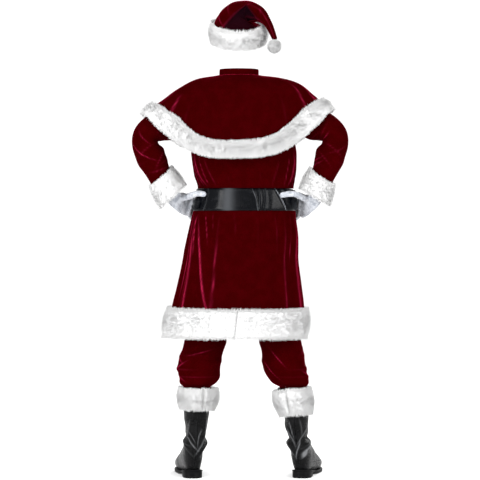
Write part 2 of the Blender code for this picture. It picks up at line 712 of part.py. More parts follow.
def cape_surface(angle, share):
    reach = 1.0 if angle >= 0.0 else CAPE_RIGHT_REACH
    sign = 1.0 if angle >= 0.0 else -1.0
    here = abs(wrapped(angle)) if abs(angle) <= 180.0 else 360.0 - abs(angle)
    edge = Vector((sign * reach * CAPE_EDGE.at(here, "out"), CAPE_EDGE.at(here, "behind"),
                   CAPE_EDGE.at(here, "height")))
    edge.z += CAPE_TILT * edge.x
    neck = coat_surface(angle, NECK_ROW) - Vector((CAPE_ACROSS, 0.0, 0.0))
    flat = Vector((neck.x, neck.y, 0.0))
    neck += flat.normalized() * (CLOTH + 2 * FACING)
    neck.z = NECK_ROW + 0.006
    sideways = math.sin(math.radians(here)) ** 2
    out = (CAPE_FALL.at(share, "side_out") * sideways
           + CAPE_FALL.at(share, "back_out") * (1.0 - sideways))
    down = (CAPE_FALL.at(share, "left_down" if angle >= 0.0 else "right_down") * sideways
            + CAPE_FALL.at(share, "back_down") * (1.0 - sideways))
    return over_sleeve(Vector((neck.x + (edge.x - neck.x) * out + CAPE_ACROSS,
                               neck.y + (edge.y - neck.y) * out,
                               neck.z + (edge.z - neck.z) * down)))


CAPE_OFF_SLEEVE = 0.010


def over_sleeve(point):
    """The same point, pushed out where the cape would lie inside the sleeve under it."""
    side = "left" if point.x > 0.0 else "right"
    here = mirrored(point, side)
    near = None
    for station in spread(0.9, 5.4, 30):
        along, outward, backward = arm_frame(side, station)
        away = here - arm_middle(side, station)
        skew = abs(away.dot(along))
        if away.length < 0.12 and (near is None or skew < near[0]):
            near = (skew, away - along * away.dot(along), outward, backward, station)
    if near is None:
        return point
    _, away, outward, backward, station = near
    high = away.dot(outward) / (ARM.at(station, "half_high") + CAPE_OFF_SLEEVE)
    deep = away.dot(backward) / (ARM.at(station, "half_deep") + CAPE_OFF_SLEEVE)
    inside = math.hypot(high, deep)
    if inside < 1.0:
        here += away * (1.0 / inside - 1.0)
    return mirrored(here, side)


def cape_row(angle, row):
    """The cape at a row: evenly down to the fur's upper edge, and evenly over the fur."""
    edge = CAPE_FUR_EDGE.at(wrapped(angle), "share")
    share = edge * row if row < 1.0 else edge + (1.0 - edge) * (row - 1.0)
    return cape_surface(angle, min(share, 1.0))


def make_cape():
    panels = (("back", -90.0, 90.0, 20), ("front_left", 90.0, 180.0, 9),
              ("front_right", -180.0, -90.0, 9))
    for name, start, end, count in panels:
        across = spread(start, end, count)
        panel = survey(cape_row, lambda row: across, CAPE_ROWS, 2.0, 0.04)
        wall("cape_" + name, panel, CLOTH, VELVET)
        trim = rows_of(panel, -CAPE_FUR_ROWS, None)
        band("cape_fur_" + name, trim, 0.018, 0.002, FUR)


# ------------------------------------------------------------------ belt

BELT_ON_PLACKET = PLACKET + FACING
BUCKLE_HIGH = 0.108
BUCKLE_WIDE = 0.088
BUCKLE_BAR = 0.012
BUCKLE_DEEP = 0.005
PRONG_HIGH = 0.008
PRONG_DEEP = 0.004
PRONG_SHORT = 0.002             # it ends this far inside the buckle's edge
BELT_END = range(-1, 5)         # columns over which the belt's end lies on the strap
BELT_END_ROWS = (0.03, 0.97)    # shares of the strap's height


def height_over(line, middle, across, out, x):
    """How far a line that runs over a plane stands off it, x across from its middle."""
    flat = [((p - middle).dot(across), (p - middle).dot(out)) for p in line]
    for (x0, off0), (x1, off1) in zip(flat, flat[1:]):
        if min(x0, x1) <= x <= max(x0, x1):
            return off0 + (off1 - off0) * (x - x0) / (x1 - x0)
    return 0.0


def make_belt():
    rows = rows_of(AROUND, FIRST_BELT_ROW, FIRST_BELT_ROW + 2)
    count = len(rows[0][0])
    near_front = (0, 1, count - 1)
    lifts = [FACING + STRAP + (BELT_ON_PLACKET if j in near_front else 0.0)
             for j in range(count)]
    strap = raised(rows, lifts)
    wall("belt_strap", strap, STRAP, VINYL, ring=True)

    points, normals = strap
    over = between_rows(([[line[-j] for j in BELT_END] for line in points],
                         [[line[-j] for j in BELT_END] for line in normals]), BELT_END_ROWS)
    wall("belt_end", over, STRAP, VINYL, lift=FACING + STRAP)

    middle = 0.5 * (points[0][0] + points[1][0])
    up = (points[1][0] - points[0][0]).normalized()
    across = (Vector((1.0, 0.0, 0.0)) - up * up.x).normalized()
    out = across.cross(up)
    half_wide, half_high = 0.5 * BUCKLE_WIDE, 0.5 * BUCKLE_HIGH

    def placed(x, z, off):
        return middle + across * x + up * z + out * off

    seat = SEAM + max(height_over(line, middle, across, out, x)
                      for line in moved_out(*over, FACING + STRAP)
                      for x in (BUCKLE_BAR - half_wide, half_wide - BUCKLE_BAR))
    outer = [(-half_wide, -half_high), (half_wide, -half_high), (half_wide, half_high),
             (-half_wide, half_high)]
    inner = [(x - math.copysign(BUCKLE_BAR, x), z - math.copysign(BUCKLE_BAR, z))
             for x, z in outer]
    corners = [placed(x, z, off) for off in (seat, seat + BUCKLE_DEEP) for x, z in outer + inner]
    faces = []
    for i in range(4):
        j = (i + 1) % 4
        faces.append((i, 4 + i, 4 + j, j))
        faces.append((8 + i, 8 + j, 12 + j, 12 + i))
        faces.append((i, j, 8 + j, 8 + i))
        faces.append((4 + i, 12 + i, 12 + j, 4 + j))
    solid("belt_buckle", corners, faces, BRASS)

    low = seat + BUCKLE_DEEP + SEAM
    half_long = half_wide - PRONG_SHORT
    corners = [placed(x, z, off) for x in (-half_long, half_long)
               for z in (-0.5 * PRONG_HIGH, 0.5 * PRONG_HIGH) for off in (low, low + PRONG_DEEP)]
    faces = [(0, 1, 3, 2), (4, 6, 7, 5), (0, 4, 5, 1), (2, 3, 7, 6), (0, 2, 6, 4), (1, 5, 7, 3)]
    solid("belt_prong", corners, faces, BRASS)


# ------------------------------------------------------------------ trousers


def boot_placed(side, forward, outward, height):
    x, y, toe_out = FEET[side]
    turn = math.radians(toe_out)
    sign = side_sign(side)
    ahead = Vector((sign * math.sin(turn), -math.cos(turn), 0.0))
    away = Vector((sign * math.cos(turn), math.sin(turn), 0.0))
    return Vector((x, y, height)) + ahead * forward + away * outward


def sole_top(forward):
    fall = (BALL - forward) / (BALL - SOLE.keys[0])
    return SOLE_TOP + (HEEL_TOP - SOLE_TOP) * max(0.0, fall)


def boot_surface(side):
    def surface(turn, station):
        angle = math.radians(turn)
        tilt = math.radians(BOOT.at(station, "tilt"))
        reach = BOOT.at(station, "to_front" if math.cos(angle) > 0 else "to_back")
        along = math.cos(angle) * reach
        forward = BOOT.at(station, "forward") + math.cos(tilt) * along
        height = BOOT.at(station, "height") + math.sin(tilt) * along
        height = max(height, sole_top(forward) + FACING)
        place = boot_placed(side, forward, math.sin(angle) * BOOT.at(station, "half_wide"), height)
        place.x -= side_sign(side) * BOOT.at(station, side + "_lean")
        return place

    return surface


def seat_point(side, share, height):
    """The seat of the trousers, inside the coat; share runs from front to back."""
    angle = 180.0 * (1.0 - share)
    base = coat_surface(side_sign(side) * angle, height)
    lift = coat_folds(side_sign(side) * angle, height)
    room = CLOTH + SEAT_ROOM + SEAT_TAPER * max(0.0, LEG_TOP - height) + lift
    middle = Vector((COAT.at(height, "across"), COAT.at(height, "behind"), height))
    out = base - middle
    return mirrored(middle + out * (1.0 - room / out.length), side)


def leg_surface(side):
    def surface(turn, height):
        angle = math.radians(turn)
        lift = sum(rise * ridge((height - place) / half_height)
                   * ridge(wrapped(turn - middle) / half_angle)
                   for place, middle, half_height, half_angle, rise in LEG_FOLDS.rows)
        leg = Vector((LEG.at(height, side + "_out")
                      - math.cos(angle) * (LEG.at(height, "half_wide") + lift),
                      LEG.at(height, "behind")
                      - math.sin(angle) * (LEG.at(height, "half_deep") + lift), height))
        share = min(1.0, max(0.0, (height - FORK_HEIGHT) / (SEAT_HEIGHT - FORK_HEIGHT)))
        share = share * share * (3.0 - 2.0 * share)
        if share > 0.0:
            leg = leg.lerp(seat_point(side, turn / 360.0, height), share)
        return mirrored(leg, side)

    return surface


def make_trousers():
    turns = spread(0.0, 360.0, LEG_COLUMNS)
    for side in ("left", "right"):
        leg = survey(leg_surface(side), lambda height: turns, LEG_ROWS, 4.0, 0.004)
        tucked = survey(boot_surface(side), lambda station: [turn - 90.0 for turn in turns],
                        LEG_TUCK, 4.0, 0.1)
        inside = moved_out(*tucked, -LEATHER - FACING - SEAM)
        wall("trouser_leg_" + side, (inside + leg[0], tucked[1] + leg[1]), CLOTH, VELVET)
    waist = between_rows(AROUND, [FIRST_BELT_ROW + place for place in WAISTBAND_ROWS])
    wall("waistband", waist, CLOTH, VELVET, ring=True, lift=-CLOTH - FACING)


# ------------------------------------------------------------------ boots


def make_boot(side):
    turns = [turn - 90.0 for turn in spread(0.0, 360.0, LEG_COLUMNS)[:-1]]
    upper = survey(boot_surface(side), lambda station: turns, BOOT.keys, 4.0, 0.1)
    tip = boot_placed(side, BOOT_TOE, 0.0, 0.024)
    wall("boot_upper_" + side, upper, LEATHER, BOOT_LEATHER, ring=True, tip=tip)
    band("boot_fur_" + side, rows_of(upper, 0, 3), 0.024, 0.0, FUR, ring=True)

    corners = []
    for forward, half_wide, foot in SOLE.rows:
        for outward, height in ((-half_wide, foot), (half_wide, foot),
                                (half_wide, sole_top(forward)), (-half_wide, sole_top(forward))):
            corners.append(boot_placed(side, forward, outward, height))
    faces = [(3, 2, 1, 0)]
    for i in range(len(SOLE.rows) - 1):
        for j in range(4):
            k = (j + 1) % 4
            faces.append((4 * i + j, 4 * i + k, 4 * i + 4 + k, 4 * i + 4 + j))
    last = 4 * (len(SOLE.rows) - 1)
    faces.append((last, last + 1, last + 2, last + 3))
    solid("boot_sole_" + side, corners, faces, RUBBER)


# ------------------------------------------------------------------ gloves


def on_body(side, angle, height, off):
    """A place over the coat, in the left side's coordinates."""
    here = coat_surface(side_sign(side) * angle, height)
    normal = cross_normal(coat_surface, side_sign(side) * angle, height, 2.0, 0.004)
    return mirrored(here + normal * off, side)


def tube(points, halves, sides, sideways):
    """A closed tube through the points with a flat oval section, and a rounded far end."""
    rings, faces = [], []
    for i, (point, (wide, thick)) in enumerate(zip(points, halves)):
        ahead = points[min(i + 1, len(points) - 1)] - points[max(i - 1, 0)]
        ahead.normalize()
        across = (sideways - ahead * ahead.dot(sideways)).normalized()
        up = ahead.cross(across)
        rings.append([point + across * wide * math.cos(2 * math.pi * k / sides)
                      + up * thick * math.sin(2 * math.pi * k / sides) for k in range(sides)])
    for i in range(len(rings) - 1):
        for k in range(sides):
            j = (k + 1) % sides
            faces.append((i * sides + k, i * sides + j, (i + 1) * sides + j, (i + 1) * sides + k))
    faces.append(tuple(reversed(range(sides))))
    faces.append(tuple((len(rings) - 1) * sides + k for k in range(sides)))
    mesh = bpy.data.meshes.new("tube")
    mesh.from_pydata([p for ring in rings for p in ring], [], faces)
    made = bpy.data.objects.new("tube", mesh)
    bpy.context.collection.objects.link(made)
    return made


def combined(base, others, operation):
    for other in others:
        step = base.modifiers.new("combine", "BOOLEAN")
        step.operation = operation
        step.object = other
    bpy.context.view_layer.update()
    graph = bpy.context.evaluated_depsgraph_get()
    mesh = bpy.data.meshes.new_from_object(base.evaluated_get(graph))
    base.modifiers.clear()
    base.data = mesh
    for other in others:
        bpy.data.objects.remove(other)
    return base


def hand_tubes(side, shrink, wrist_reach):
    """The palm and the five fingers of one hand, thinner by shrink all round."""
    wrist = Vector(HAND_WRIST[side])
    heel = Vector(HAND_HEEL[side])
    knuckles = on_body(side, *KNUCKLES)
    top = on_body(side, FINGERS.rows[0][1], FINGERS.rows[0][2], FINGER_OFF[side])
    low = on_body(side, FINGERS.rows[3][1], FINGERS.rows[3][2], FINGER_OFF[side])
    width = (top - low).normalized()
    start = wrist + (wrist - heel).normalized() * wrist_reach
    wide, thick = PALM_HALF_WIDE - shrink, PALM_HALF_THICK - shrink
    knuckle_end = knuckles + (knuckles - heel).normalized() * (0.014 - shrink)
    spine = [wrist, heel, heel.lerp(knuckles, 0.5), knuckles, knuckle_end]
    halves = [(0.033 - shrink, 0.028 - shrink), (0.031 - shrink, 0.022 - shrink),
              (wide, thick + 0.002), (wide, thick), (wide * 0.93, thick * 0.62)]
    if wrist_reach:
        spine.insert(0, start)
        halves.insert(0, halves[0])
    palm = tube(spine, halves, 8, width)
    fingers = []
    for _, root_angle, root_height, tip_angle, tip_height, radius in FINGERS.rows:
        spine = [on_body(side, root_angle + (tip_angle - root_angle) * share,
                         root_height + (tip_height - root_height) * share, FINGER_OFF[side])
                 for share in (-0.25, 0.30, 0.75, 1.0)]
        size = radius - shrink
        if shrink:
            spine[0] = spine[0].lerp(spine[1], 0.15)
            spine[-1] = spine[-2].lerp(spine[-1], 0.85)
        halves = [(size * part, size * part) for part in (0.95, 1.0, 0.95, 0.5)]
        fingers.append(tube(spine, halves, 5, width))
    spine = [on_body(side, *place) for place in THUMB[side]]
    spine.insert(0, heel.lerp(knuckles, 0.32 if shrink else 0.20))
    spine.append(spine[-1] + (spine[-1] - spine[-2]).normalized() * (0.008 - 0.6 * shrink))
    size = THUMB_RADIUS - shrink
    halves = [(size * part, size * part) for part in (1.0, 1.15, 1.1, 1.0, 0.9, 0.45)]
    fingers.append(tube(spine, halves, 6, width))
    return palm, fingers


def make_glove(side):
    palm, fingers = hand_tubes(side, 0.0, 0.0)
    outer = combined(palm, fingers, "UNION")
    palm, fingers = hand_tubes(side, GLOVE_CLOTH, 0.01)
    inner = combined(palm, fingers, "UNION")
    glove = combined(outer, [inner], "DIFFERENCE")
    if side == "right":
        glove.data.transform(Matrix.Scale(-1.0, 4, (1.0, 0.0, 0.0)))
        glove.data.flip_normals()
    glove.name = "glove_" + side
    glove.data.materials.clear()
    glove.data.materials.append(GLOVE_COTTON)
    glove.data.shade_smooth()
    glove.parent = ROOT


# ------------------------------------------------------------------ hat


def hat_middle(station):
    return Vector((HAT.at(station, "out"), HAT.at(station, "behind"),
                   HAT.at(station, "height")))


def hat_surface(turn, station):
    angle = math.radians(turn)
    dip = HAT_DIP * max(0.0, math.sin(angle)) ** 1.5
    dip *= min(1.0, max(0.0, (3.6 - station) / 1.6))
    along = (hat_middle(station + 0.3) - hat_middle(station - 0.3)).normalized()
    backward = Vector((0.0, 1.0, 0.0))
    backward = (backward - along * along.dot(backward)).normalized()
    return (hat_middle(station)
            + along.cross(backward) * math.cos(angle) * HAT.at(station, "half_wide")
            + backward * math.sin(angle) * HAT.at(station, "half_deep")
            - Vector((0.0, 0.0, dip)))


def make_hat():
    turns = spread(0.0, 360.0, 16)[:-1]
    crown = survey(hat_surface, lambda station: turns, HAT.keys, 6.0, 0.1)
    end = hat_middle(9.0) + (hat_middle(9.0) - hat_middle(8.7)).normalized() * 0.002
    wall("hat_crown", crown, CLOTH, VELVET, ring=True, tip=end)
    band("hat_fur", rows_of(crown, 0, 3), 0.020, 0.0, FUR, ring=True)
    bpy.ops.mesh.primitive_ico_sphere_add(subdivisions=2, radius=POMPOM_RADIUS,
                                          location=POMPOM)
    pompom = bpy.context.object
    pompom.name = "hat_pompom"
    pompom.data.materials.append(FUR)
    pompom.parent = ROOT


make_coat()
make_placket()
make_collar()
for side in ("left", "right"):
    make_sleeve(side)
make_cape()
make_belt()
make_trousers()
for side in ("left", "right"):
    make_boot(side)
    make_glove(side)
make_hat()
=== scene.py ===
import math

import bmesh
import bpy
import numpy as np
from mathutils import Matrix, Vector


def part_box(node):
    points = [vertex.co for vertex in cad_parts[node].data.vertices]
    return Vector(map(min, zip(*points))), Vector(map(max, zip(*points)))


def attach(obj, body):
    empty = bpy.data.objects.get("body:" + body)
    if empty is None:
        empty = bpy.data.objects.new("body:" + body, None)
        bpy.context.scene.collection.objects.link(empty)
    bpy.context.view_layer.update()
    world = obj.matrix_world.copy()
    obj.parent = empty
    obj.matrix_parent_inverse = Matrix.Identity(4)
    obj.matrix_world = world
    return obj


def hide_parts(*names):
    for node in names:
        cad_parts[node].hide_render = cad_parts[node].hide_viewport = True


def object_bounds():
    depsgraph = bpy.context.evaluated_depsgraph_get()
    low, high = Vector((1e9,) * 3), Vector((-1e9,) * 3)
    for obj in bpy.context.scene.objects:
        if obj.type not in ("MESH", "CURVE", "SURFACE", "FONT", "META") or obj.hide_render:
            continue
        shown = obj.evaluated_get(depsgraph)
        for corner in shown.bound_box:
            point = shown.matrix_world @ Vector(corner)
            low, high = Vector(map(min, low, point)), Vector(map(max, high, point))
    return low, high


# A Santa suit of wine-red velvet trimmed with white fur, worn with the hands on the hips.
#
# Sizes are in metres.  The suit is worked out standing on a floor at height 0 and facing -Y,
# with the wearer's left at +X, and each piece is lowered by the neck's height as it is made.
# Angles round the body are degrees from the centre back (0) over the wearer's left side (90)
# to the centre front (180); the right side is negative.

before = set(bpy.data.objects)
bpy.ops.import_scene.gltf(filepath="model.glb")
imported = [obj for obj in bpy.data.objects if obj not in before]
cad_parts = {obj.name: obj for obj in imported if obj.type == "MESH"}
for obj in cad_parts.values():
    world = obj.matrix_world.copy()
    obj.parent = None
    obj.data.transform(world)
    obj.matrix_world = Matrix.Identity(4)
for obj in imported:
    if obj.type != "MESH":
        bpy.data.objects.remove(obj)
cad_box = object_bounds()

# ---------------------------------------------------------------- coat
# The coat is cut from stretch velvet with a short crimson nap: one back panel and two fronts
# that meet at a hidden zip.  The belt gathers it, and soft folds fall from there to the hem.

NECK_HEIGHT = -cad_box[0][2]
CLOTH = 0.0025
SEAM = 0.0003
FACING = 0.0005                 # clear between a piece and the panel that it lies on
SEAM_DIP = 0.0011               # the sewn edge of a panel turns in by this much
SEAM_DIP_WIDTH = 0.004
HEM_HEIGHT = 0.546
HEM_FUR_TOP = 0.652
BELT_LOW = 1.034
BELT_HIGH = 1.120
BELT_PRESS = 0.030              # the belt presses the folds flat this far past its edges
ARMPIT_HEIGHT = 1.345
SHOULDER_HEIGHT = 1.491
ARMHOLE_MIDDLE = 0.5 * (ARMPIT_HEIGHT + SHOULDER_HEIGHT)
NECK_ROW = 1.556
ARMHOLE_HALF_ANGLE = 40.0
BODY_POWER = 2.0 / 2.25         # a section is a little squarer than an ellipse


class Table:
    """Rows of sizes under named columns, read by a smooth curve along the first one."""

    def __init__(self, columns, *rows):
        self.names, self.rows = columns.split(), rows
        self.grid = np.array(rows, float)
        self.keys = self.grid[:, 0]

    def at(self, key, names):
        """The named column at a key, or each of several columns."""
        found = [self.curve(key, self.grid[:, self.names.index(name)]) for name in names.split()]
        return found[0] if len(found) == 1 else found

    def curve(self, key, values):
        keys = self.keys
        key = np.clip(np.asarray(key, float), keys[0], keys[-1])
        places = np.arange(len(keys))
        before, after = np.maximum(places - 1, 0), np.minimum(places + 1, len(keys) - 1)
        slopes = (values[after] - values[before]) / (keys[after] - keys[before])
        low = np.clip(np.searchsorted(keys, key, side="right") - 1, 0, len(keys) - 2)
        span = keys[low + 1] - keys[low]
        share = (key - keys[low]) / span
        square, cube = share ** 2, share ** 3
        return (values[low] * (2 * cube - 3 * square + 1)
                + slopes[low] * span * (cube - 2 * square + share)
                + values[low + 1] * (3 * square - 2 * cube)
                + slopes[low + 1] * span * (cube - square))


COAT = Table(
    "height side front back across behind",
    (0.54, 0.261, 0.19, 0.196, 0.03, 0),
    (0.655, 0.249, 0.178, 0.184, 0.017, 0),
    (0.75, 0.231, 0.166, 0.17, 0.01, 0),
    (0.85, 0.214, 0.155, 0.16, 0.005, 0),
    (0.94, 0.21, 0.148, 0.152, -0.004, 0),
    (1.025, 0.2, 0.14, 0.14, -0.008, 0),
    (1.077, 0.194, 0.136, 0.132, -0.015, 0),
    (1.125, 0.187, 0.134, 0.126, -0.014, 0),
    (1.18, 0.198, 0.138, 0.128, -0.01, 0),
    (1.26, 0.206, 0.138, 0.13, -0.007, 0.002),
    (1.35, 0.2, 0.13, 0.128, 0.004, 0.004),
    (1.43, 0.205, 0.108, 0.11, 0.01, 0.008),
    (1.492, 0.195, 0.072, 0.08, 0.012, 0.01),
    (1.515, 0.165, 0.066, 0.078, 0.012, 0.008),
    (1.537, 0.115, 0.064, 0.074, 0.012, 0.004),
    (1.556, 0.077, 0.062, 0.066, 0.012, 0),
)
# Every fold is a soft ridge from its top to its foot; crisp is how sharp its crest is, and how
# strong a highlight is painted along it.
COAT_FOLDS = Table(
    "top_angle top_height foot_angle foot_height half_width lift crisp",
    (66, 1.02, 49, 0.6, 7.5, 0.012, 0.9),
    (58, 1.01, 24, 0.66, 6.5, 0.0085, 1),
    (25, 1, 21.5, 0.64, 7, 0.0065, 0.2),
    (-24, 0.98, -24, 0.6, 7.5, 0.006, 0),
    (-47, 1.01, -45, 0.6, 7, 0.0085, 0.35),
    (-72, 1, -68, 0.58, 7.5, 0.011, 0.8),
    (86, 1.015, 76, 0.57, 7, 0.012, 0.6),
    (-97, 1.01, -93, 0.56, 8, 0.011, 0.8),
    (110, 1.01, 102, 0.59, 8, 0.01, 0.7),
    (-122, 1, -118, 0.57, 8, 0.011, 0.8),
    (136, 1.015, 130, 0.59, 8, 0.009, 0.5),
    (-146, 1.01, -144, 0.6, 7.5, 0.009, 0.8),
    (158, 0.99, 155, 0.58, 7.5, 0.007, 0.5),
    (68, 1.26, 50, 1.13, 6.5, 0.008, 0.9),
    (46, 1.235, 34, 1.13, 6, 0.0055, 0.3),
    (-68, 1.265, -58, 1.13, 6.5, 0.008, 0.9),
    (-38, 1.23, -30, 1.135, 6, 0.005, 0.2),
    (112, 1.24, 122, 1.13, 7, 0.008, 0.7),
    (-114, 1.25, -126, 1.13, 7, 0.008, 0.7),
    (140, 1.22, 148, 1.13, 7, 0.006, 0.5),
)
# Narrow creases on top of the folds, most where the belt pinches the velvet.
COAT_CREASES = Table(
    "top_angle top_height foot_angle foot_height half_width lift crisp",
    (61, 1.032, 56, 0.9, 2.2, 0.003, 1),
    (72, 1.036, 70, 0.76, 2.4, 0.0032, 0.8),
    (25, 1, 21, 0.7, 2, 0.003, 0.6),
    (45, 1.032, 38, 0.93, 1.8, 0.0022, 0.7),
    (34, 1.034, 31, 0.96, 1.8, 0.0018, 0.3),
    (8, 1.032, 7, 0.96, 2.2, 0.0016, 0.2),
    (-12, 1.03, -13, 0.93, 2.4, 0.0016, 0.1),
    (-33, 1.034, -36, 0.9, 2.2, 0.002, 0.2),
    (-60, 1.034, -58, 0.86, 2, 0.0026, 0.5),
    (-80, 1.034, -80, 0.7, 2.2, 0.0032, 1),
    (-88, 1.034, -86, 0.82, 2, 0.0026, 0.7),
    (73, 1.24, 55, 1.126, 2, 0.0034, 1),
    (76, 1.21, 66, 1.124, 1.9, 0.003, 1),
    (58, 1.25, 44, 1.126, 2, 0.0026, 0.6),
    (84, 1.19, 78, 1.124, 1.9, 0.0026, 0.8),
    (18, 1.18, 15, 1.124, 2.4, 0.0015, 0.1),
    (-16, 1.19, -13, 1.126, 2.4, 0.0015, 0.1),
    (-56, 1.25, -50, 1.126, 2.2, 0.0024, 0.5),
    (-78, 1.27, -71, 1.124, 2.2, 0.0032, 1),
    (-87, 1.23, -82, 1.124, 2, 0.0028, 0.8),
    (98, 1.034, 95, 0.72, 2.2, 0.003, 0.7),
    (122, 1.034, 118, 0.84, 2.2, 0.0026, 0.6),
    (147, 1.034, 145, 0.9, 2, 0.0024, 0.5),
    (168, 1.03, 167, 0.88, 2, 0.0022, 0.4),
    (-108, 1.034, -106, 0.76, 2.2, 0.003, 0.7),
    (-134, 1.034, -131, 0.86, 2.2, 0.0026, 0.6),
    (-158, 1.034, -157, 0.8, 2.4, 0.0026, 0.5),
    (-170, 1.03, -169, 0.93, 2, 0.002, 0.3),
    (104, 1.23, 110, 1.124, 2.2, 0.003, 0.8),
    (128, 1.21, 136, 1.126, 2.2, 0.0026, 0.6),
    (-104, 1.24, -112, 1.124, 2.2, 0.003, 0.8),
    (-132, 1.2, -140, 1.126, 2.2, 0.0024, 0.6),
    (-152, 1.22, -158, 1.13, 2.4, 0.0022, 0.4),
    (118, 1.42, 132, 1.33, 3.2, 0.0026, 0.4),
    (-118, 1.42, -133, 1.33, 3.2, 0.0026, 0.4),
)


def wrapped(angle):
    return (angle + 180.0) % 360.0 - 180.0


def unit(vectors):
    return vectors / np.maximum(np.linalg.norm(vectors, axis=-1, keepdims=True), 1e-12)


def points_of(x, y, z):
    return np.stack(np.broadcast_arrays(x, y, z), axis=-1).astype(float)


# A fold's run, in shares of its length from top to foot, and its section, in half widths.
FOLD_BEGINS, FOLD_FULL = -0.05, 0.30
FOLD_FALLS, FOLD_ENDS = 0.9, 1.3
FOLD_SWAY = 0.25                # how far a crisp crest wanders to each side
# half width of the highlight painted along a crest, in half widths of its fold
CREST_HALF_WIDTH = 0.30
PINCH_HALF_WIDTH = 0.25         # a crisp crest is also pinched up,
PINCH_RISE = 0.12               # by this share of the fold's own lift


def rising(value, low, high):
    """0 up to low and 1 from high, and straight between them."""
    return np.clip((value - low) / (high - low), 0, 1)


def folded(folds, across, down, finer=1.0):
    """How far the folds lift a surface, and how near each place is to a crisp ridge top, where a
    highlight is painted.
    """
    lift, crest = 0.0, 0.0
    for top, top_down, foot, foot_down, half_width, rise, crisp in folds.rows:
        share = (down - top_down) / (foot_down - top_down)
        fade = rising(share, FOLD_BEGINS, FOLD_FULL) * rising(-share, -FOLD_ENDS, -FOLD_FALLS)
        sway = FOLD_SWAY * half_width * np.sin(5.0 * share + 7.0 * top)
        off = wrapped(across - top - (foot - top) * share - sway * np.clip(crisp, 0, 1)) / half_width
        pinch = PINCH_RISE * crisp * np.exp(-(off / PINCH_HALF_WIDTH) ** 2)
        lift = lift + rise * fade * (np.exp(-off ** 2) + pinch)
        crest = crest + crisp * fade * np.exp(-(off / CREST_HALF_WIDTH) ** 2 * finer)
    return lift, np.clip(crest, 0, 1)


def pressed(height):
    """1 away from the belt, falling to 0 where it presses the cloth flat."""
    return np.clip(np.maximum(height - BELT_HIGH, BELT_LOW - height) / BELT_PRESS, 0, 1)


def coat_painted_highlight(angle, height):
    """Where a highlight is painted on the velvet along fold tops; finer on the big folds than on
    creases.
    """
    big = folded(COAT_FOLDS, angle, height, 3.0)[1]
    small = folded(COAT_CREASES, angle, height)[1]
    return np.maximum(big, small) * pressed(height)


def coat_middle(height):
    """The middle line that the coat's sections are drawn round."""
    return points_of(*COAT.at(height, "across behind"), height)


def rounded(turn, power):
    """Sine and cosine of a turn round a section, squared off by a power below 1."""
    sine, cosine = np.sin(turn), np.cos(turn)
    return np.sign(sine) * np.abs(sine) ** power, np.sign(cosine) * np.abs(cosine) ** power


def coat_surface(angle, height):
    turn = np.radians(angle)
    depth = np.where(np.cos(turn) > 0, COAT.at(height, "back"), COAT.at(height, "front"))
    across, behind = rounded(turn, BODY_POWER)
    flat = points_of(across * COAT.at(height, "side"), behind * depth, 0.0)
    lift = (folded(COAT_FOLDS, angle, height)[0] * pressed(height)
            + folded(COAT_CREASES, angle, height)[0] * pressed(height) ** 0.5)
    return flat + unit(flat) * lift[..., None] + coat_middle(height)


def surveyed(surface, across, down, step_across, step_down):
    """A surface's points and outward normals at each row (down) and column (across)."""
    across, down = np.broadcast_arrays(across, down)
    along = surface(across + step_across, down) - surface(across - step_across, down)
    fall = surface(across, down + step_down) - surface(across, down - step_down)
    points, normals = surface(across, down), unit(np.cross(fall, along))
    outward = ((points - points.mean(axis=1, keepdims=True)) * normals).sum()
    return points, normals * (1.0 if outward > 0 else -1.0)


def grid_faces(rows, columns, ring, first=0):
    """The quads between the points of a grid that are numbered row by row."""
    low = np.arange(rows - 1)[:, None] * columns
    here = np.arange(columns if ring else columns - 1)[None, :]
    right = (here + 1) % columns
    return first + np.stack([low + here, low + columns + here, low + columns + right,
                             low + right], axis=-1).reshape(-1, 4)


def looped_faces(rows, columns, ring):
    """The same, and a last strip of quads that joins the last row to the first."""
    last = (rows - 1) * columns
    here = np.arange(columns if ring else columns - 1)
    right = (here + 1) % columns
    strip = np.stack([last + here, here, right, last + right], axis=-1)
    return grid_faces(rows, columns, ring).tolist() + strip.tolist()


def piece_of(name, points, faces, material, slot, replaced=(), marks=None):
    """One mesh piece, lowered to its place in the frame, that rides on the only body."""
    mesh = bpy.data.meshes.new(name)
    lowered = np.asarray(points, float) - (0.0, 0.0, NECK_HEIGHT)
    mesh.from_pydata(lowered.tolist(), [], [list(face) for face in faces])
    for mark, values in (marks or {}).items():
        mesh.attributes.new(mark, "FLOAT", "POINT").data.foreach_set("value", np.ravel(values))
    mesh.materials.append(material)
    mesh.shade_smooth()
    piece = bpy.data.objects.new(name, mesh)
    bpy.context.collection.objects.link(piece)
    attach(piece, "root")
    if replaced:
        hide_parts(*replaced)
    return piece


def turned_out(piece):
    """The same piece with every face turned to its outer side."""
    skin = bmesh.new()
    skin.from_mesh(piece.data)
    bmesh.ops.recalc_face_normals(skin, faces=skin.faces)
    skin.to_mesh(piece.data)
    skin.free()
    return piece


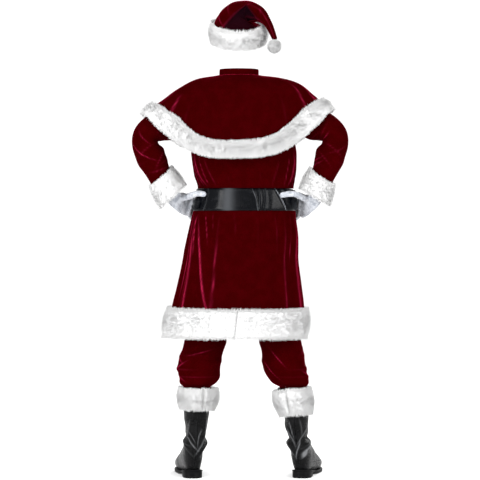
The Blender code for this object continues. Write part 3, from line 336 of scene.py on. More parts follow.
def cloth(name, grid, thickness, material, slot, ring=False, tip=None, crest=0.0, brushed=0.0):
    """A shell of one thickness inside a surveyed grid, closed along its cut edges."""
    outer, normals = grid
    inner = outer - normals * thickness
    rows, columns = outer.shape[:2]
    back = rows * columns
    faces = [grid_faces(rows, columns, ring), grid_faces(rows, columns, ring, back)[:, ::-1]]
    here = np.arange(columns if ring else columns - 1)
    right = (here + 1) % columns
    last = (rows - 1) * columns
    faces.append(np.stack([here, right, back + right, back + here], axis=-1))
    points = np.concatenate([outer.reshape(-1, 3), inner.reshape(-1, 3)])
    if tip is None:
        faces.append(np.stack([last + right, last + here, back + last + here,
                               back + last + right], axis=-1))
    else:
        points = np.concatenate([points, [tip, tip + (outer[-1].mean(axis=0) - tip) * 0.5]])
        faces.append(np.stack([last + here, np.full_like(here, 2 * back), last + right], axis=-1))
        faces.append(np.stack([back + last + right, np.full_like(here, 2 * back + 1),
                               back + last + here], axis=-1))
    if not ring:
        low, high = np.arange(rows - 1) * columns, np.arange(1, rows) * columns
        edge = columns - 1
        faces.append(np.stack([high, low, back + low, back + high], axis=-1))
        faces.append(np.stack([low + edge, high + edge, back + high + edge, back + low + edge],
                              axis=-1))
    marks = {"crest": np.zeros(len(points)), "brushed": np.zeros(len(points))}
    marks["crest"][:back] = np.ravel(crest)
    marks["brushed"][:back] = np.ravel(brushed)
    faces = [face for group in faces for face in group.tolist()]
    return turned_out(piece_of(name + "_cloth", points, faces, material, slot, [name], marks))


class Signal:
    """A socket of a material's tree; arithmetic on it adds the nodes that work it out."""

    def __init__(self, tree, socket=None):
        self.tree, self.socket = tree, socket

    def node(self, kind, settings=(), inputs=(), output=0):
        """A node of that kind: its settings are set first, then its sockets, by value or link."""
        made = self.tree.nodes.new(kind)
        for name, value in dict(settings).items():
            setattr(made, name, value)
        for name, value in dict(inputs).items():
            put(self.tree, made.inputs[name], value)
        return Signal(self.tree, made.outputs[output])

    def math(self, operation, *values):
        return self.node("ShaderNodeMath", {"operation": operation}, dict(enumerate(values)))

    def __add__(self, other):
        return self.math("ADD", self, other)

    def __radd__(self, other):
        return self.math("ADD", other, self)

    def __sub__(self, other):
        return self.math("SUBTRACT", self, other)

    def __rsub__(self, other):
        return self.math("SUBTRACT", other, self)

    def __mul__(self, other):
        return self.math("MULTIPLY", self, other)

    def __rmul__(self, other):
        return self.math("MULTIPLY", other, self)

    def __pow__(self, other):
        return self.math("POWER", self, other)

    def mark(self, name):
        """One of the values that a piece holds at its points."""
        return self.node("ShaderNodeAttribute", {"attribute_name": name}, output="Fac")

    def between(self, low, high):
        """0 at low and 1 at high, and smooth between them."""
        return self.node("ShaderNodeMapRange", {"interpolation_type": "SMOOTHSTEP"},
                         {"Value": self, "From Min": low, "From Max": high})

    def noise(self, scale, detail=3.0, stretch=(1.0, 1.0, 1.0), roughness=0.55):
        """Cloudy noise over the object; stretch is how many times finer along each axis."""
        place = self.node("ShaderNodeTexCoord", output="Object")
        place = self.node("ShaderNodeMapping", inputs={"Vector": place, "Scale": stretch})
        return self.node("ShaderNodeTexNoise", inputs={
            "Vector": place, "Scale": scale, "Detail": detail, "Roughness": roughness})

    def mixed(self, first, second):
        """From the first colour at 0 to the second at 1."""
        return self.node("ShaderNodeMix", {"data_type": "RGBA"},
                         {"Factor": self, "A": first, "B": second}, output="Result")

    def bump(self, height, distance, under=None):
        inputs = {"Height": height, "Distance": distance}
        if under is not None:
            inputs["Normal"] = under
        return self.node("ShaderNodeBump", inputs=inputs)


def put(tree, socket, value):
    if isinstance(value, Signal):
        tree.links.new(value.socket, socket)
    elif socket.type == "RGBA" and len(value) == 3:
        socket.default_value = (*value, 1.0)
    else:
        socket.default_value = value


def finish(name, constants):
    """A material with a Principled shader; the constants are set on its own sockets."""
    made = bpy.data.materials.new(name)
    made.use_nodes = True
    tree = made.node_tree
    shader = tree.nodes["Principled BSDF"]
    for socket, value in constants.items():
        put(tree, shader.inputs[socket], value)
    return made, Signal(tree), shader


def feed(shader, **links):
    for name, value in links.items():
        put(shader.id_data, shader.inputs[name.replace("_", " ")], value)


def velvet_finish():
    made, start, shader = finish("velvet_nap", {
        "Specular IOR Level": 0.0, "Sheen Weight": 0.20, "Sheen Roughness": 0.25,
        "Sheen Tint": (1.0, 0.03, 0.10)})
    # Painted highlight: this mark turns the colour crimson along the tops of folds and creases.
    crest = start.mark("crest")
    # Painted sheen: where the surface turns edge-on to the view, its colour is painted a brighter
    # crimson.
    painted_rim_sheen = start.node("ShaderNodeLayerWeight", inputs={"Blend": 0.30}, output="Facing")
    cloud = start.noise(26.0, 3.0).between(0.35, 0.70)
    pile = start.noise(900.0, 2.0)
    drag = start.noise(90.0, 3.0, (1.0, 1.0, 0.25)).between(0.40, 0.66)
    lit = (crest ** 1.4) * (0.55 + 0.45 * drag)
    ground = cloud.mixed((0.0250, 0.0001, 0.0003), (0.0310, 0.0001, 0.0006))
    turned = painted_rim_sheen.between(0.55, 1.0).mixed(ground, (0.180, 0.0012, 0.0150))
    # Painted shade: where this mark is high, as in the hat's slumped hollow, the velvet is painted
    # almost black.
    brushed = start.mark("brushed")
    with_painted_hollow_shade = brushed.mixed(turned, (0.0065, 0.0014, 0.0032))
    colour = lit.mixed(with_painted_hollow_shade, (0.34, 0.012, 0.050))
    feed(shader, Base_Color=colour, Roughness=0.80 + 0.12 * drag,
         Normal=start.bump(pile, 0.0005, start.bump(cloud, 0.0006)))
    return made


VELVET = velvet_finish()


def sewn_in(grid, edges):
    """The grid with the named edges turned in, as at a seam."""
    points, normals = grid
    dip = 0.0
    lines = {"left": points[:, :1], "right": points[:, -1:],
             "first": points[:1], "last": points[-1:]}
    for edge in edges:
        away = np.linalg.norm(points - lines[edge], axis=-1)
        dip = np.maximum(dip, SEAM_DIP * np.exp(-(away / SEAM_DIP_WIDTH) ** 2))
    return points - normals * dip[..., None], normals


def velvet_panel(name, grid, edges, thickness=CLOTH, **more):
    """A panel of the coat's velvet, sewn in along the named edges."""
    return cloth(name, sewn_in(grid, edges), thickness, VELVET, "velvet", **more)


def armhole_cut(height):
    """Half the armhole's width in degrees, or none where back and front meet."""
    share = (height - ARMHOLE_MIDDLE) / (SHOULDER_HEIGHT - ARMHOLE_MIDDLE)
    return ARMHOLE_HALF_ANGLE * np.sqrt(np.clip(1.0 - share ** 2, 0, 1))


ARMHOLE_TURN = np.linspace(0.0, np.pi, 17)[1:]
COAT_ROWS = np.concatenate([
    np.linspace(HEM_HEIGHT + SEAM, ARMPIT_HEIGHT, 90),
    ARMHOLE_MIDDLE - (SHOULDER_HEIGHT - ARMHOLE_MIDDLE) * np.cos(ARMHOLE_TURN),
    np.linspace(SHOULDER_HEIGHT, NECK_ROW - SEAM, 10)[1:]])
SEAM_ANGLE = 0.05               # half the gap between panels, in degrees


def coat_panel(name, count, cuts, edges):
    """One of the coat's panels; the cuts say which way each armhole narrows it."""
    height = COAT_ROWS[:, None]
    cut = armhole_cut(height)
    start, end = PANEL_SPAN[name]
    first, last = start + cuts[0] * cut, end + cuts[1] * cut
    angle = first + (last - first) * np.linspace(0.0, 1.0, count + 1)[None, :]
    grid = surveyed(coat_surface, angle, height, 0.5, 0.002)
    panel = velvet_panel("coat_" + name, grid, edges, crest=coat_painted_highlight(angle, height))


# Every panel of coat and cape runs between these angles, from its first column to its last.
PANEL_SPAN = {
    "back": (-90.0 + SEAM_ANGLE, 90.0 - SEAM_ANGLE),
    "front_left": (90.0 + SEAM_ANGLE, 180.0 - SEAM_ANGLE),
    "front_right": (-180.0 + SEAM_ANGLE, -90.0 - SEAM_ANGLE),
}
coat_panel("back", 108, (1, -1), ("left", "right"))
coat_panel("front_left", 48, (1, 0), ("left",))
coat_panel("front_right", 48, (0, -1), ("right",))

# ---------------------------------------------------------------- front placket
# A plain velvet strip sewn over the hidden zip, from the fur hem up to the chest.  It is
# topstitched down both sides and lies flat on the two fronts.

PLACKET = 0.0018
PLACKET_HALF = 0.024
PLACKET_ROWS = np.linspace(HEM_FUR_TOP + 0.002, 1.512, 70)
STITCH_INSET = 0.004
STITCH_PITCH = 0.0045
STITCH_LONG = 0.0033
STITCH_WIDE = 0.0007
STITCH_TOP = 0.6                # length of a stitch's crown, of its whole length


def angle_at(across, height):
    """The angle from the centre front at which the coat is that far across."""
    share = np.abs(across) / COAT.at(height, "side")
    return np.sign(across) * np.degrees(np.arcsin(share ** (1.0 / BODY_POWER)))


def front_surface(across, height):
    """The fronts' outer side near the zip, by distance across from the centre front."""
    return coat_surface(180.0 - angle_at(across, height), height)


def travelled_along(path):
    """The length of a path up to each of its points."""
    steps = np.linalg.norm(np.diff(path, axis=0), axis=1)
    return np.concatenate([[0.0], np.cumsum(steps)])


def stitches(path, normals, pitch, long, wide):
    """Points and faces of a row of small rounded stitches along a path."""
    travelled = travelled_along(path)

    def met(values, places):
        return np.stack([np.interp(places, travelled, values[:, i]) for i in range(3)], axis=-1)

    middles = np.arange(0.5 * pitch, travelled[-1], pitch)
    place, out = met(path, middles), unit(met(normals, middles))
    ahead = unit(met(path, middles + 0.2 * pitch) - place + 1e-9)
    beside = np.cross(ahead, out)
    corners = [place + ahead * (s * 0.5 * long) + beside * (t * 0.5 * wide) + out * (high * wide)
               for s, t, high in ((-1, -1, 0.0), (-1, 1, 0.0), (1, 1, 0.0), (1, -1, 0.0),
                                  (-STITCH_TOP, 0, 0.5), (STITCH_TOP, 0, 0.5))]
    points = np.stack(corners, axis=1).reshape(-1, 3)
    first = np.arange(len(middles))[:, None] * 6
    sides = ((0, 1, 4), (1, 2, 5, 4), (2, 3, 5), (3, 0, 4, 5), (3, 2, 1, 0))
    return points, [tuple(int(f + k) for k in side) for f in first[:, 0] for side in sides]


def joined(*parts):
    """Several lots of points and faces as one."""
    points, faces, start = [], [], 0
    for more_points, more_faces in parts:
        points.append(np.asarray(more_points, float).reshape(-1, 3))
        faces += [tuple(int(start + k) for k in face) for face in more_faces]
        start += len(points[-1])
    return np.concatenate(points), faces


def plain_finish(name, colour):
    """One colour with a very fine mottle, for thread and for a lacquered snap."""
    made, start, shader = finish(name, {"Specular IOR Level": 0.3})
    mottle = start.noise(1500.0, 1.0)
    feed(shader, Base_Color=mottle.mixed(tuple(0.6 * part for part in colour), colour),
         Roughness=0.55 + 0.2 * mottle)
    return made


RED_THREAD = plain_finish("red_thread", (0.16, 0.004, 0.010))


def on_fronts(across):
    """Points and normals of the placket's outer side, at some distances across."""
    points, normals = surveyed(front_surface, across, PLACKET_ROWS[:, None], 0.003, 0.002)
    return points + normals * (FACING + PLACKET), normals


placket = velvet_panel("front_placket", on_fronts(np.linspace(-PLACKET_HALF, PLACKET_HALF, 15)),
                       ("left", "right", "first", "last"), PLACKET)
rows = []
for side in (-1, 1):
    path, out = on_fronts(side * (PLACKET_HALF - STITCH_INSET))
    rows.append(stitches(path[:, 0], out[:, 0], STITCH_PITCH, STITCH_LONG, STITCH_WIDE))
piece_of("placket_stitching", *joined(*rows), RED_THREAD, "velvet")

# ---------------------------------------------------------------- collar
# A low stand collar of the same velvet.  It is sewn round the neckline and left open at the
# centre front.

COLLAR_HIGH = 0.029
COLLAR_LEAN = 0.0029 / 0.030    # share of its width by which it draws in, for every metre up
COLLAR_RIPPLE = 0.0005          # how far its top waves in and out


def collar_surface(angle, height):
    neck = coat_surface(angle, NECK_ROW)
    shrink = 1.0 - COLLAR_LEAN * (height - NECK_ROW)
    ripple = COLLAR_RIPPLE * np.sin(np.radians(angle) * 7.0) * (height - NECK_ROW) / COLLAR_HIGH
    flat = unit(neck * (1.0, 1.0, 0.0))
    return points_of(neck[..., 0] * shrink, neck[..., 1] * shrink, height) + flat * ripple[..., None]


angle = np.linspace(-178.6, 178.6, 120)[None, :]
height = np.linspace(NECK_ROW + 2 * SEAM, NECK_ROW + COLLAR_HIGH, 12)[:, None]
grid = surveyed(collar_surface, angle, height, 0.5, 0.002)
collar = velvet_panel("collar", grid, ("left", "right", "last"))

# ---------------------------------------------------------------- sleeves
# Each sleeve is sewn from a back and a front half, set into the armhole and bent at the elbow.
# Soft creases cross the bend, and a fur cuff covers its end at the wrist.

ARM = Table(
    "station left_out right_out behind height half_high half_low half_deep tilt",
    (1, 0.236, 0.229, 0.012, 1.416, 0.052, 0.066, 0.066, 0),
    (2, 0.272, 0.264, 0.022, 1.398, 0.052, 0.076, 0.063, 0),
    (3, 0.308, 0.298, 0.034, 1.377, 0.053, 0.077, 0.061, 0),
    (4, 0.342, 0.33, 0.044, 1.353, 0.055, 0.062, 0.06, 0),
    (5, 0.366, 0.352, 0.05, 1.323, 0.057, 0.046, 0.06, 0),
    (6, 0.37, 0.355, 0.052, 1.288, 0.056, 0.048, 0.059, 0),
    (7, 0.359, 0.345, 0.05, 1.248, 0.052, 0.062, 0.057, 4),
    (8, 0.339, 0.331, 0.045, 1.206, 0.048, 0.056, 0.055, 9),
    (9, 0.316, 0.311, 0.039, 1.164, 0.047, 0.05, 0.053, 13),
    (10, 0.293, 0.297, 0.034, 1.127, 0.051, 0.054, 0.056, 13),
    (11, 0.27, 0.284, 0.03, 1.09, 0.057, 0.06, 0.06, 13),
)
# Ridges across a sleeve, round part of it; slope turns a ridge along the arm.
SLEEVE_FOLDS = Table(
    "station angle half_stations half_angle slope lift crisp",
    (2.6, 120, 0.45, 40, 0, 0.004, 0.2),
    (4.2, 110, 0.45, 40, 0.3, 0.0045, 0.4),
    (4.6, -80, 0.45, 50, 0, 0.0045, 0.3),
    (6.3, 95, 0.45, 50, -0.5, 0.005, 0.6),
    (6.8, -100, 0.45, 50, 0, 0.0045, 0.4),
    (7.3, 20, 0.5, 50, 0, 0.004, 0.3),
    (8.1, 170, 0.45, 60, 0, 0.0035, 0.4),
)
SLEEVE_CREASES = {
    "left": Table(
        "station angle half_stations half_angle slope lift crisp",
        (6.6, 62, 0.1, 34, 0.75, 0.0016, 1),
        (5.5, 80, 0.12, 30, 0.5, 0.0014, 0.5),
        (7.6, 130, 0.12, 34, -0.45, 0.0015, 0.5),
        (8.4, 100, 0.12, 40, 0.25, 0.0014, 0.4),
        (3.4, 140, 0.14, 34, -0.4, 0.0014, 0.4),
        (5.6, -70, 0.12, 40, 0.4, 0.0015, 0.6),
        (7.4, -110, 0.12, 40, -0.4, 0.0015, 0.6),
        (8.2, -60, 0.12, 40, 0.3, 0.0015, 0.5),
    ),
    "right": Table(
        "station angle half_stations half_angle slope lift crisp",
        (4.9, 128, 0.1, 22, 0.2, 0.0016, 1),
        (8.1, 158, 0.1, 26, 0.55, 0.0018, 1),
        (8.5, 150, 0.1, 24, 0.6, 0.0016, 0.9),
        (6.4, 70, 0.12, 34, 0.45, 0.0014, 0.3),
        (7.4, 110, 0.12, 34, -0.4, 0.0014, 0.3),
        (3.6, 150, 0.14, 30, -0.4, 0.0014, 0.3),
        (5.4, -80, 0.12, 40, -0.4, 0.0015, 0.6),
        (7.6, -100, 0.12, 40, 0.4, 0.0015, 0.6),
    ),
}
SIGN = {"left": 1.0, "right": -1.0}
RIDGE_CREST = 0.055             # half width of a ridge's crest, in stations
FIRST_STATION, LAST_STATION = 1.0, 11.0
CUFF_STATION = 9.0              # the cuff's fur begins here and goes on to the end


def ridged(folds, angle, station):
    """How far the cross-wise ridges lift a tube, and how near each place is to a ridge's top, where
    a highlight is painted.
    """
    lift, crest = 0.0, 0.0
    for place, middle, half_stations, half_angle, slope, rise, crisp in folds.rows:
        round_by = wrapped(angle - middle) / half_angle
        along = (station - place - slope * round_by) / half_stations
        fade = np.exp(-round_by ** 2)
        lift = lift + rise * fade * np.exp(-along ** 2)
        sharp = along * half_stations / RIDGE_CREST
        crest = crest + crisp * fade * np.exp(-sharp ** 2)
    return lift, np.clip(crest, 0, 1)


def mirrored(points, side):
    return points * (SIGN[side], 1.0, 1.0)


def armhole(side, turn):
    """The armhole's seam; turn 0 is the shoulder's tip, 90 the back, 180 the armpit."""
    height = ARMHOLE_MIDDLE + (SHOULDER_HEIGHT - ARMHOLE_MIDDLE) * np.cos(np.radians(turn))
    angle = 90.0 - ARMHOLE_HALF_ANGLE * np.sin(np.radians(turn))
    return mirrored(coat_surface(SIGN[side] * angle, height), side)


def arm_middle(side, station):
    return points_of(*ARM.at(station, side + "_out behind height"))


def arm_frame(side, station):
    """Directions along the arm, away from the body's side, and backward."""
    along = unit(arm_middle(side, station + 0.3) - arm_middle(side, station - 0.3))
    backward = np.array([0.0, 1.0, 0.0])
    backward = unit(backward - along * along[..., 1:2])
    outward = unit(np.cross(along, backward))
    tilt = np.radians(ARM.at(station, "tilt"))[..., None]
    return along, outward * np.cos(tilt) + along * np.sin(tilt), backward


def sleeve_painted_highlight(side, turn, station):
    return np.maximum(ridged(SLEEVE_CREASES[side], turn, station)[1],
                      0.5 * ridged(SLEEVE_FOLDS, turn, station)[1])


def sleeve_surface(side):
    def surface(turn, station):
        held = np.maximum(station, FIRST_STATION)
        _, outward, backward = arm_frame(side, held)
        angle = np.radians(turn)[..., None]
        lift = (ridged(SLEEVE_FOLDS, turn, station)[0]
                + ridged(SLEEVE_CREASES[side], turn, station)[0])[..., None]
        high, low, deep = (size[..., None] for size in ARM.at(held, "half_high half_low half_deep"))
        reach = np.where(np.cos(angle) > 0, high, low)
        ring = (arm_middle(side, held) + outward * np.cos(angle) * (reach + lift)
                + backward * np.sin(angle) * (deep + lift))
        share = np.clip(station, 0.0, 1.0)[..., None]
        return mirrored(armhole(side, turn) * (1.0 - share) + ring * share, side)

    return surface


SLEEVE_ROWS = np.concatenate([np.linspace(0.0, FIRST_STATION, 9),
                              np.linspace(FIRST_STATION, LAST_STATION, 84)[1:]])[:, None]
SLEEVE_SEAM = 0.15              # half the gap between its two halves, in degrees
for side in ("left", "right"):
    for name, start in (("back", 0.0), ("front", 180.0)):
        turn = np.linspace(start + SLEEVE_SEAM, start + 180.0 - SLEEVE_SEAM, 43)[None, :]
        grid = surveyed(sleeve_surface(side), turn, SLEEVE_ROWS, 2.0, 0.03)
        away_from_armhole = np.clip(SLEEVE_ROWS * 30.0, 0.0, 1.0)
        sleeve = velvet_panel(f"sleeve_{name}_{side}", grid, ("first", "left", "right"),
                              crest=sleeve_painted_highlight(side, turn, SLEEVE_ROWS) * away_from_armhole)

# ---------------------------------------------------------------- cape
# A short shoulder cape of the same velvet, sewn at the neck from one back piece and two
# fronts.  It hangs over the upper arms, and a seam runs down each shoulder.

CAPE_EDGE = Table(
    "angle out behind height",
    (0, 0, 0.176, 1.238),
    (20, 0.09, 0.172, 1.241),
    (38, 0.165, 0.158, 1.259),
    (53, 0.222, 0.143, 1.29),
    (64, 0.268, 0.13, 1.322),
    (73, 0.312, 0.117, 1.36),
    (82, 0.352, 0.08, 1.397),
    (90, 0.37, 0.022, 1.414),
    (98, 0.35, -0.032, 1.396),
    (107, 0.302, -0.066, 1.352),
    (118, 0.256, -0.098, 1.318),
    (132, 0.2, -0.132, 1.288),
    (155, 0.1, -0.16, 1.266),
    (180, 0, -0.168, 1.26),
)
CAPE_ACROSS = 0.012             # the shoulders lie a little to the wearer's left
CAPE_TILT = -0.020              # and the left one a little lower, per metre across
CAPE_RIGHT_REACH = 0.970        # the right elbow is held a little closer
CAPE_OFF_SLEEVE = 0.010
CAPE_UP_COLLAR = 0.006          # how far above the neck's seam its upper edge lies
CAPE_HEART = (CAPE_ACROSS, 0.0, 1.33)       # its folds rise away from here
CAPE_FALL = Table(
    "share side_out left_down right_down back_out back_down",
    (0, 0, 0, 0, 0, 0),
    (0.18, 0.3, 0.1, 0.075, 0.46, 0.115),
    (0.38, 0.56, 0.36, 0.24, 0.76, 0.32),
    (0.58, 0.74, 0.61, 0.52, 0.9, 0.545),
    (0.8, 0.89, 0.81, 0.78, 0.97, 0.785),
    (1, 1, 1, 1, 1, 1),
)
# Soft folds that fall from the shoulders, by angle and by share of the way down.
CAPE_FOLDS = Table(
    "top_angle top_share foot_angle foot_share half_width lift crisp",
    (-84, 0.2, -82, 0.8, 2.2, 0.003, 0.9),
    (-74, 0.3, -70, 0.82, 3, 0.0022, 0.6),
    (84, 0.22, 83, 0.78, 2.4, 0.0022, 0.5),
    (74, 0.4, 69, 0.84, 3.2, 0.0028, 0.7),
    (58, 0.45, 52, 0.9, 5, 0.0022, 0.1),
    (-50, 0.4, -46, 0.9, 5.5, 0.0022, 0.1),
    (22, 0.5, 20, 0.95, 8, 0.002, 0),
    (-16, 0.5, -15, 0.95, 8, 0.0018, 0),
    (104, 0.3, 108, 0.85, 4, 0.003, 0.5),
    (126, 0.4, 128, 0.95, 6, 0.0034, 0.4),
    (152, 0.45, 152, 0.95, 7, 0.003, 0.3),
    (-106, 0.3, -110, 0.85, 4, 0.003, 0.5),
    (-130, 0.4, -131, 0.95, 6, 0.0034, 0.4),
    (-158, 0.45, -157, 0.95, 7, 0.003, 0.3),
)


# The arm's middle line as the cape meets it: from and to these stations, in fine steps.
UNDER_CAPE = np.linspace(0.9, 5.4, 91)
NEAR_ARM = 0.12                 # further off than this, a place isn't over the arm
PUSH_POWER = 14                 # how sudden the push is at the sleeve's surface
FAR = 9.0
INMOST = 0.05                   # closer in than this, a place is pushed no harder


def over_sleeve(points):
    """The same points, pushed out where the cape would lie inside the sleeve under it."""
    flat = points.reshape(-1, 3)
    for side in ("left", "right"):
        here = mirrored(flat, side)
        along, outward, backward = arm_frame(side, UNDER_CAPE)
        away = here[:, None, :] - arm_middle(side, UNDER_CAPE)[None, :, :]
        skew = np.abs((away * along).sum(axis=-1))
        skew = np.where(np.linalg.norm(away, axis=-1) < NEAR_ARM, skew, FAR)
        best = skew.argmin(axis=1)
        found = (skew[np.arange(len(here)), best] < FAR) & (here[:, 0] > 0)
        away = away[np.arange(len(here)), best]
        away = away - along[best] * (away * along[best]).sum(axis=-1, keepdims=True)
        half_high, half_deep = ARM.at(UNDER_CAPE[best], "half_high half_deep")
        high = (away * outward[best]).sum(axis=-1) / (half_high + CAPE_OFF_SLEEVE)
        deep = (away * backward[best]).sum(axis=-1) / (half_deep + CAPE_OFF_SLEEVE)
        inside = np.maximum(np.hypot(high, deep), INMOST)
        push = (1.0 + inside ** PUSH_POWER) ** (1.0 / PUSH_POWER) / inside - 1.0
        here = here + away * np.where(found, push, 0.0)[:, None]
        flat = mirrored(here, side)
    return flat.reshape(points.shape)


def cape_surface(angle, share):
    right = wrapped(angle) < 0
    here = np.abs(wrapped(angle))
    reach = np.where(right, -CAPE_RIGHT_REACH, 1.0)
    out, behind, height = CAPE_EDGE.at(here, "out behind height")
    edge = points_of(reach * out, behind, height)
    edge[..., 2] += CAPE_TILT * edge[..., 0]
    neck = coat_surface(angle, NECK_ROW) - (CAPE_ACROSS, 0.0, 0.0)
    neck = neck + unit(neck * (1.0, 1.0, 0.0)) * (CLOTH + 2 * FACING)
    neck[..., 2] = NECK_ROW + CAPE_UP_COLLAR
    fall = CAPE_FALL.at(share, "side_out left_down right_down back_out back_down")
    side_out, left_down, right_down, back_out, back_down = fall
    sideways = np.sin(np.radians(here)) ** 2
    out = side_out * sideways + back_out * (1.0 - sideways)
    down = np.where(right, right_down, left_down) * sideways + back_down * (1.0 - sideways)
    fallen = neck + (edge - neck) * points_of(out, out, down) + (CAPE_ACROSS, 0.0, 0.0)
    lift = folded(CAPE_FOLDS, angle, share)[0][..., None]
    return over_sleeve(fallen) + unit(fallen - CAPE_HEART) * lift


CAPE_COLUMNS = {"back": 120, "front_left": 54, "front_right": 54}
for name, columns in CAPE_COLUMNS.items():
    angle = np.linspace(*PANEL_SPAN[name], columns + 1)[None, :]
    share = np.linspace(0.0, 1.0, 57)[:, None]
    grid = surveyed(cape_surface, angle, share, 0.6, 0.012)
    panel = velvet_panel("cape_" + name, grid, ("left", "right"),
                         crest=folded(CAPE_FOLDS, angle, share)[1])

# ---------------------------------------------------------------- fur trims
# Strips of white long-pile fur, sewn along the hem, round the cape's edge and on the cuffs.
# Each is a soft woven backing, thickest along its middle, with pile that leans to its edges.

BAND_EDGE = 0.35                # how blunt a band's edges are: 0 is sharp, 1 is square
BACKING_SHARE = 0.60            # of the band's whole depth; the pile stands on it
BAND_ROUND = 0.6                # a power; the lower it is, the flatter the band's back
BAND_LEAN = math.radians(62.0)  # of the pile at a band's edges
LEAN_POWER = 1.4                # the higher it is, the more of the pile stands up
HALF_LEAN, WHOLE_LEAN = 0.6, 1.15           # share of the lean low and high on a strand
END_ROUND = 0.006               # a band thins this close to its ends,
END_THIN = 0.40                 # by this share
LUMPS = ((0.03, 75.0), (0.02, 190.0))       # share of the depth, and radians to a metre
TUFT_TALL, TUFT_VARIES = 0.86, 0.28         # how tall a tuft is, of the pile's length
STRAND_TALL, STRAND_VARIES = 0.80, 0.35     # and a strand, of its tuft's height
STRAND_WIDE = 0.0012
STRAND_THIN, THIN_VARIES = 0.40, 0.30       # half its width at the root, of the widest
STRAND_SUNK = 0.0015            # how far a strand's root is inside the backing
STRAND_WANDER = 0.0022
SHADE_LEAN, SHADE_STRAY = 0.25, 30.0        # how far its shading follows its lean and wander
CLUMP = 0.0065                  # from one tuft of pile to the next
CLUMP_PULL = 0.30               # how far a strand's tip is drawn to the middle of its tuft
CLUMP_SWING = 0.35              # how far a whole tuft bends along the band
EDGE_STRANDS = 0.14             # share of a band's strands that are only near each edge,
EDGE_ROWS = 0.09                # within this share of its width
# Roots and backing are painted a little darker than the tips, as painted shade deep in the pile.
BACKING_TIP = 0.35              # how bright the backing is, where 0 is a root and 1 a tip
ROOT_TIP = 0.1


def fur_finish():
    made, start, shader = finish("white_fur", {
        "Specular IOR Level": 0.15, "Sheen Weight": 0.80, "Sheen Roughness": 0.5,
        "Sheen Tint": (1.0, 1.0, 1.0)})
    tip = start.mark("tip")
    tone = start.noise(70.0, 3.0).between(0.30, 0.75)
    fine = start.noise(420.0, 2.0).between(0.30, 0.70)
    # Painted shade: toward the roots the fur is painted the deeper of these two tones.
    deep = tone.mixed((0.945, 0.945, 0.95), (0.965, 0.965, 0.965))
    bright = tone.mixed((0.98, 0.98, 0.975), (0.995, 0.995, 0.99))
    feed(shader, Base_Color=(tip.between(0.05, 0.85) * (0.8 + 0.2 * fine)).mixed(deep, bright),
         Roughness=0.80 + 0.15 * fine, Normal=start.bump(fine, 0.0008))
    return made


FUR = fur_finish()


def sampled(values, down, across, ring):
    """A grid's values at places between its rows and columns, each from 0 to 1."""
    rows, columns = values.shape[:2]
    place = np.clip(down, 0, 1) * (rows - 1)
    low = np.minimum(place.astype(int), rows - 2)
    along = (across % 1.0 if ring else np.clip(across, 0, 1)) * (columns if ring else columns - 1)
    left = np.minimum(along.astype(int), columns - 1 if ring else columns - 2)
    right = (left + 1) % columns
    a, b = (place - low)[:, None], (along - left)[:, None]
    return ((values[low, left] * (1 - b) + values[low, right] * b) * (1 - a)
            + (values[low + 1, left] * (1 - b) + values[low + 1, right] * b) * a)


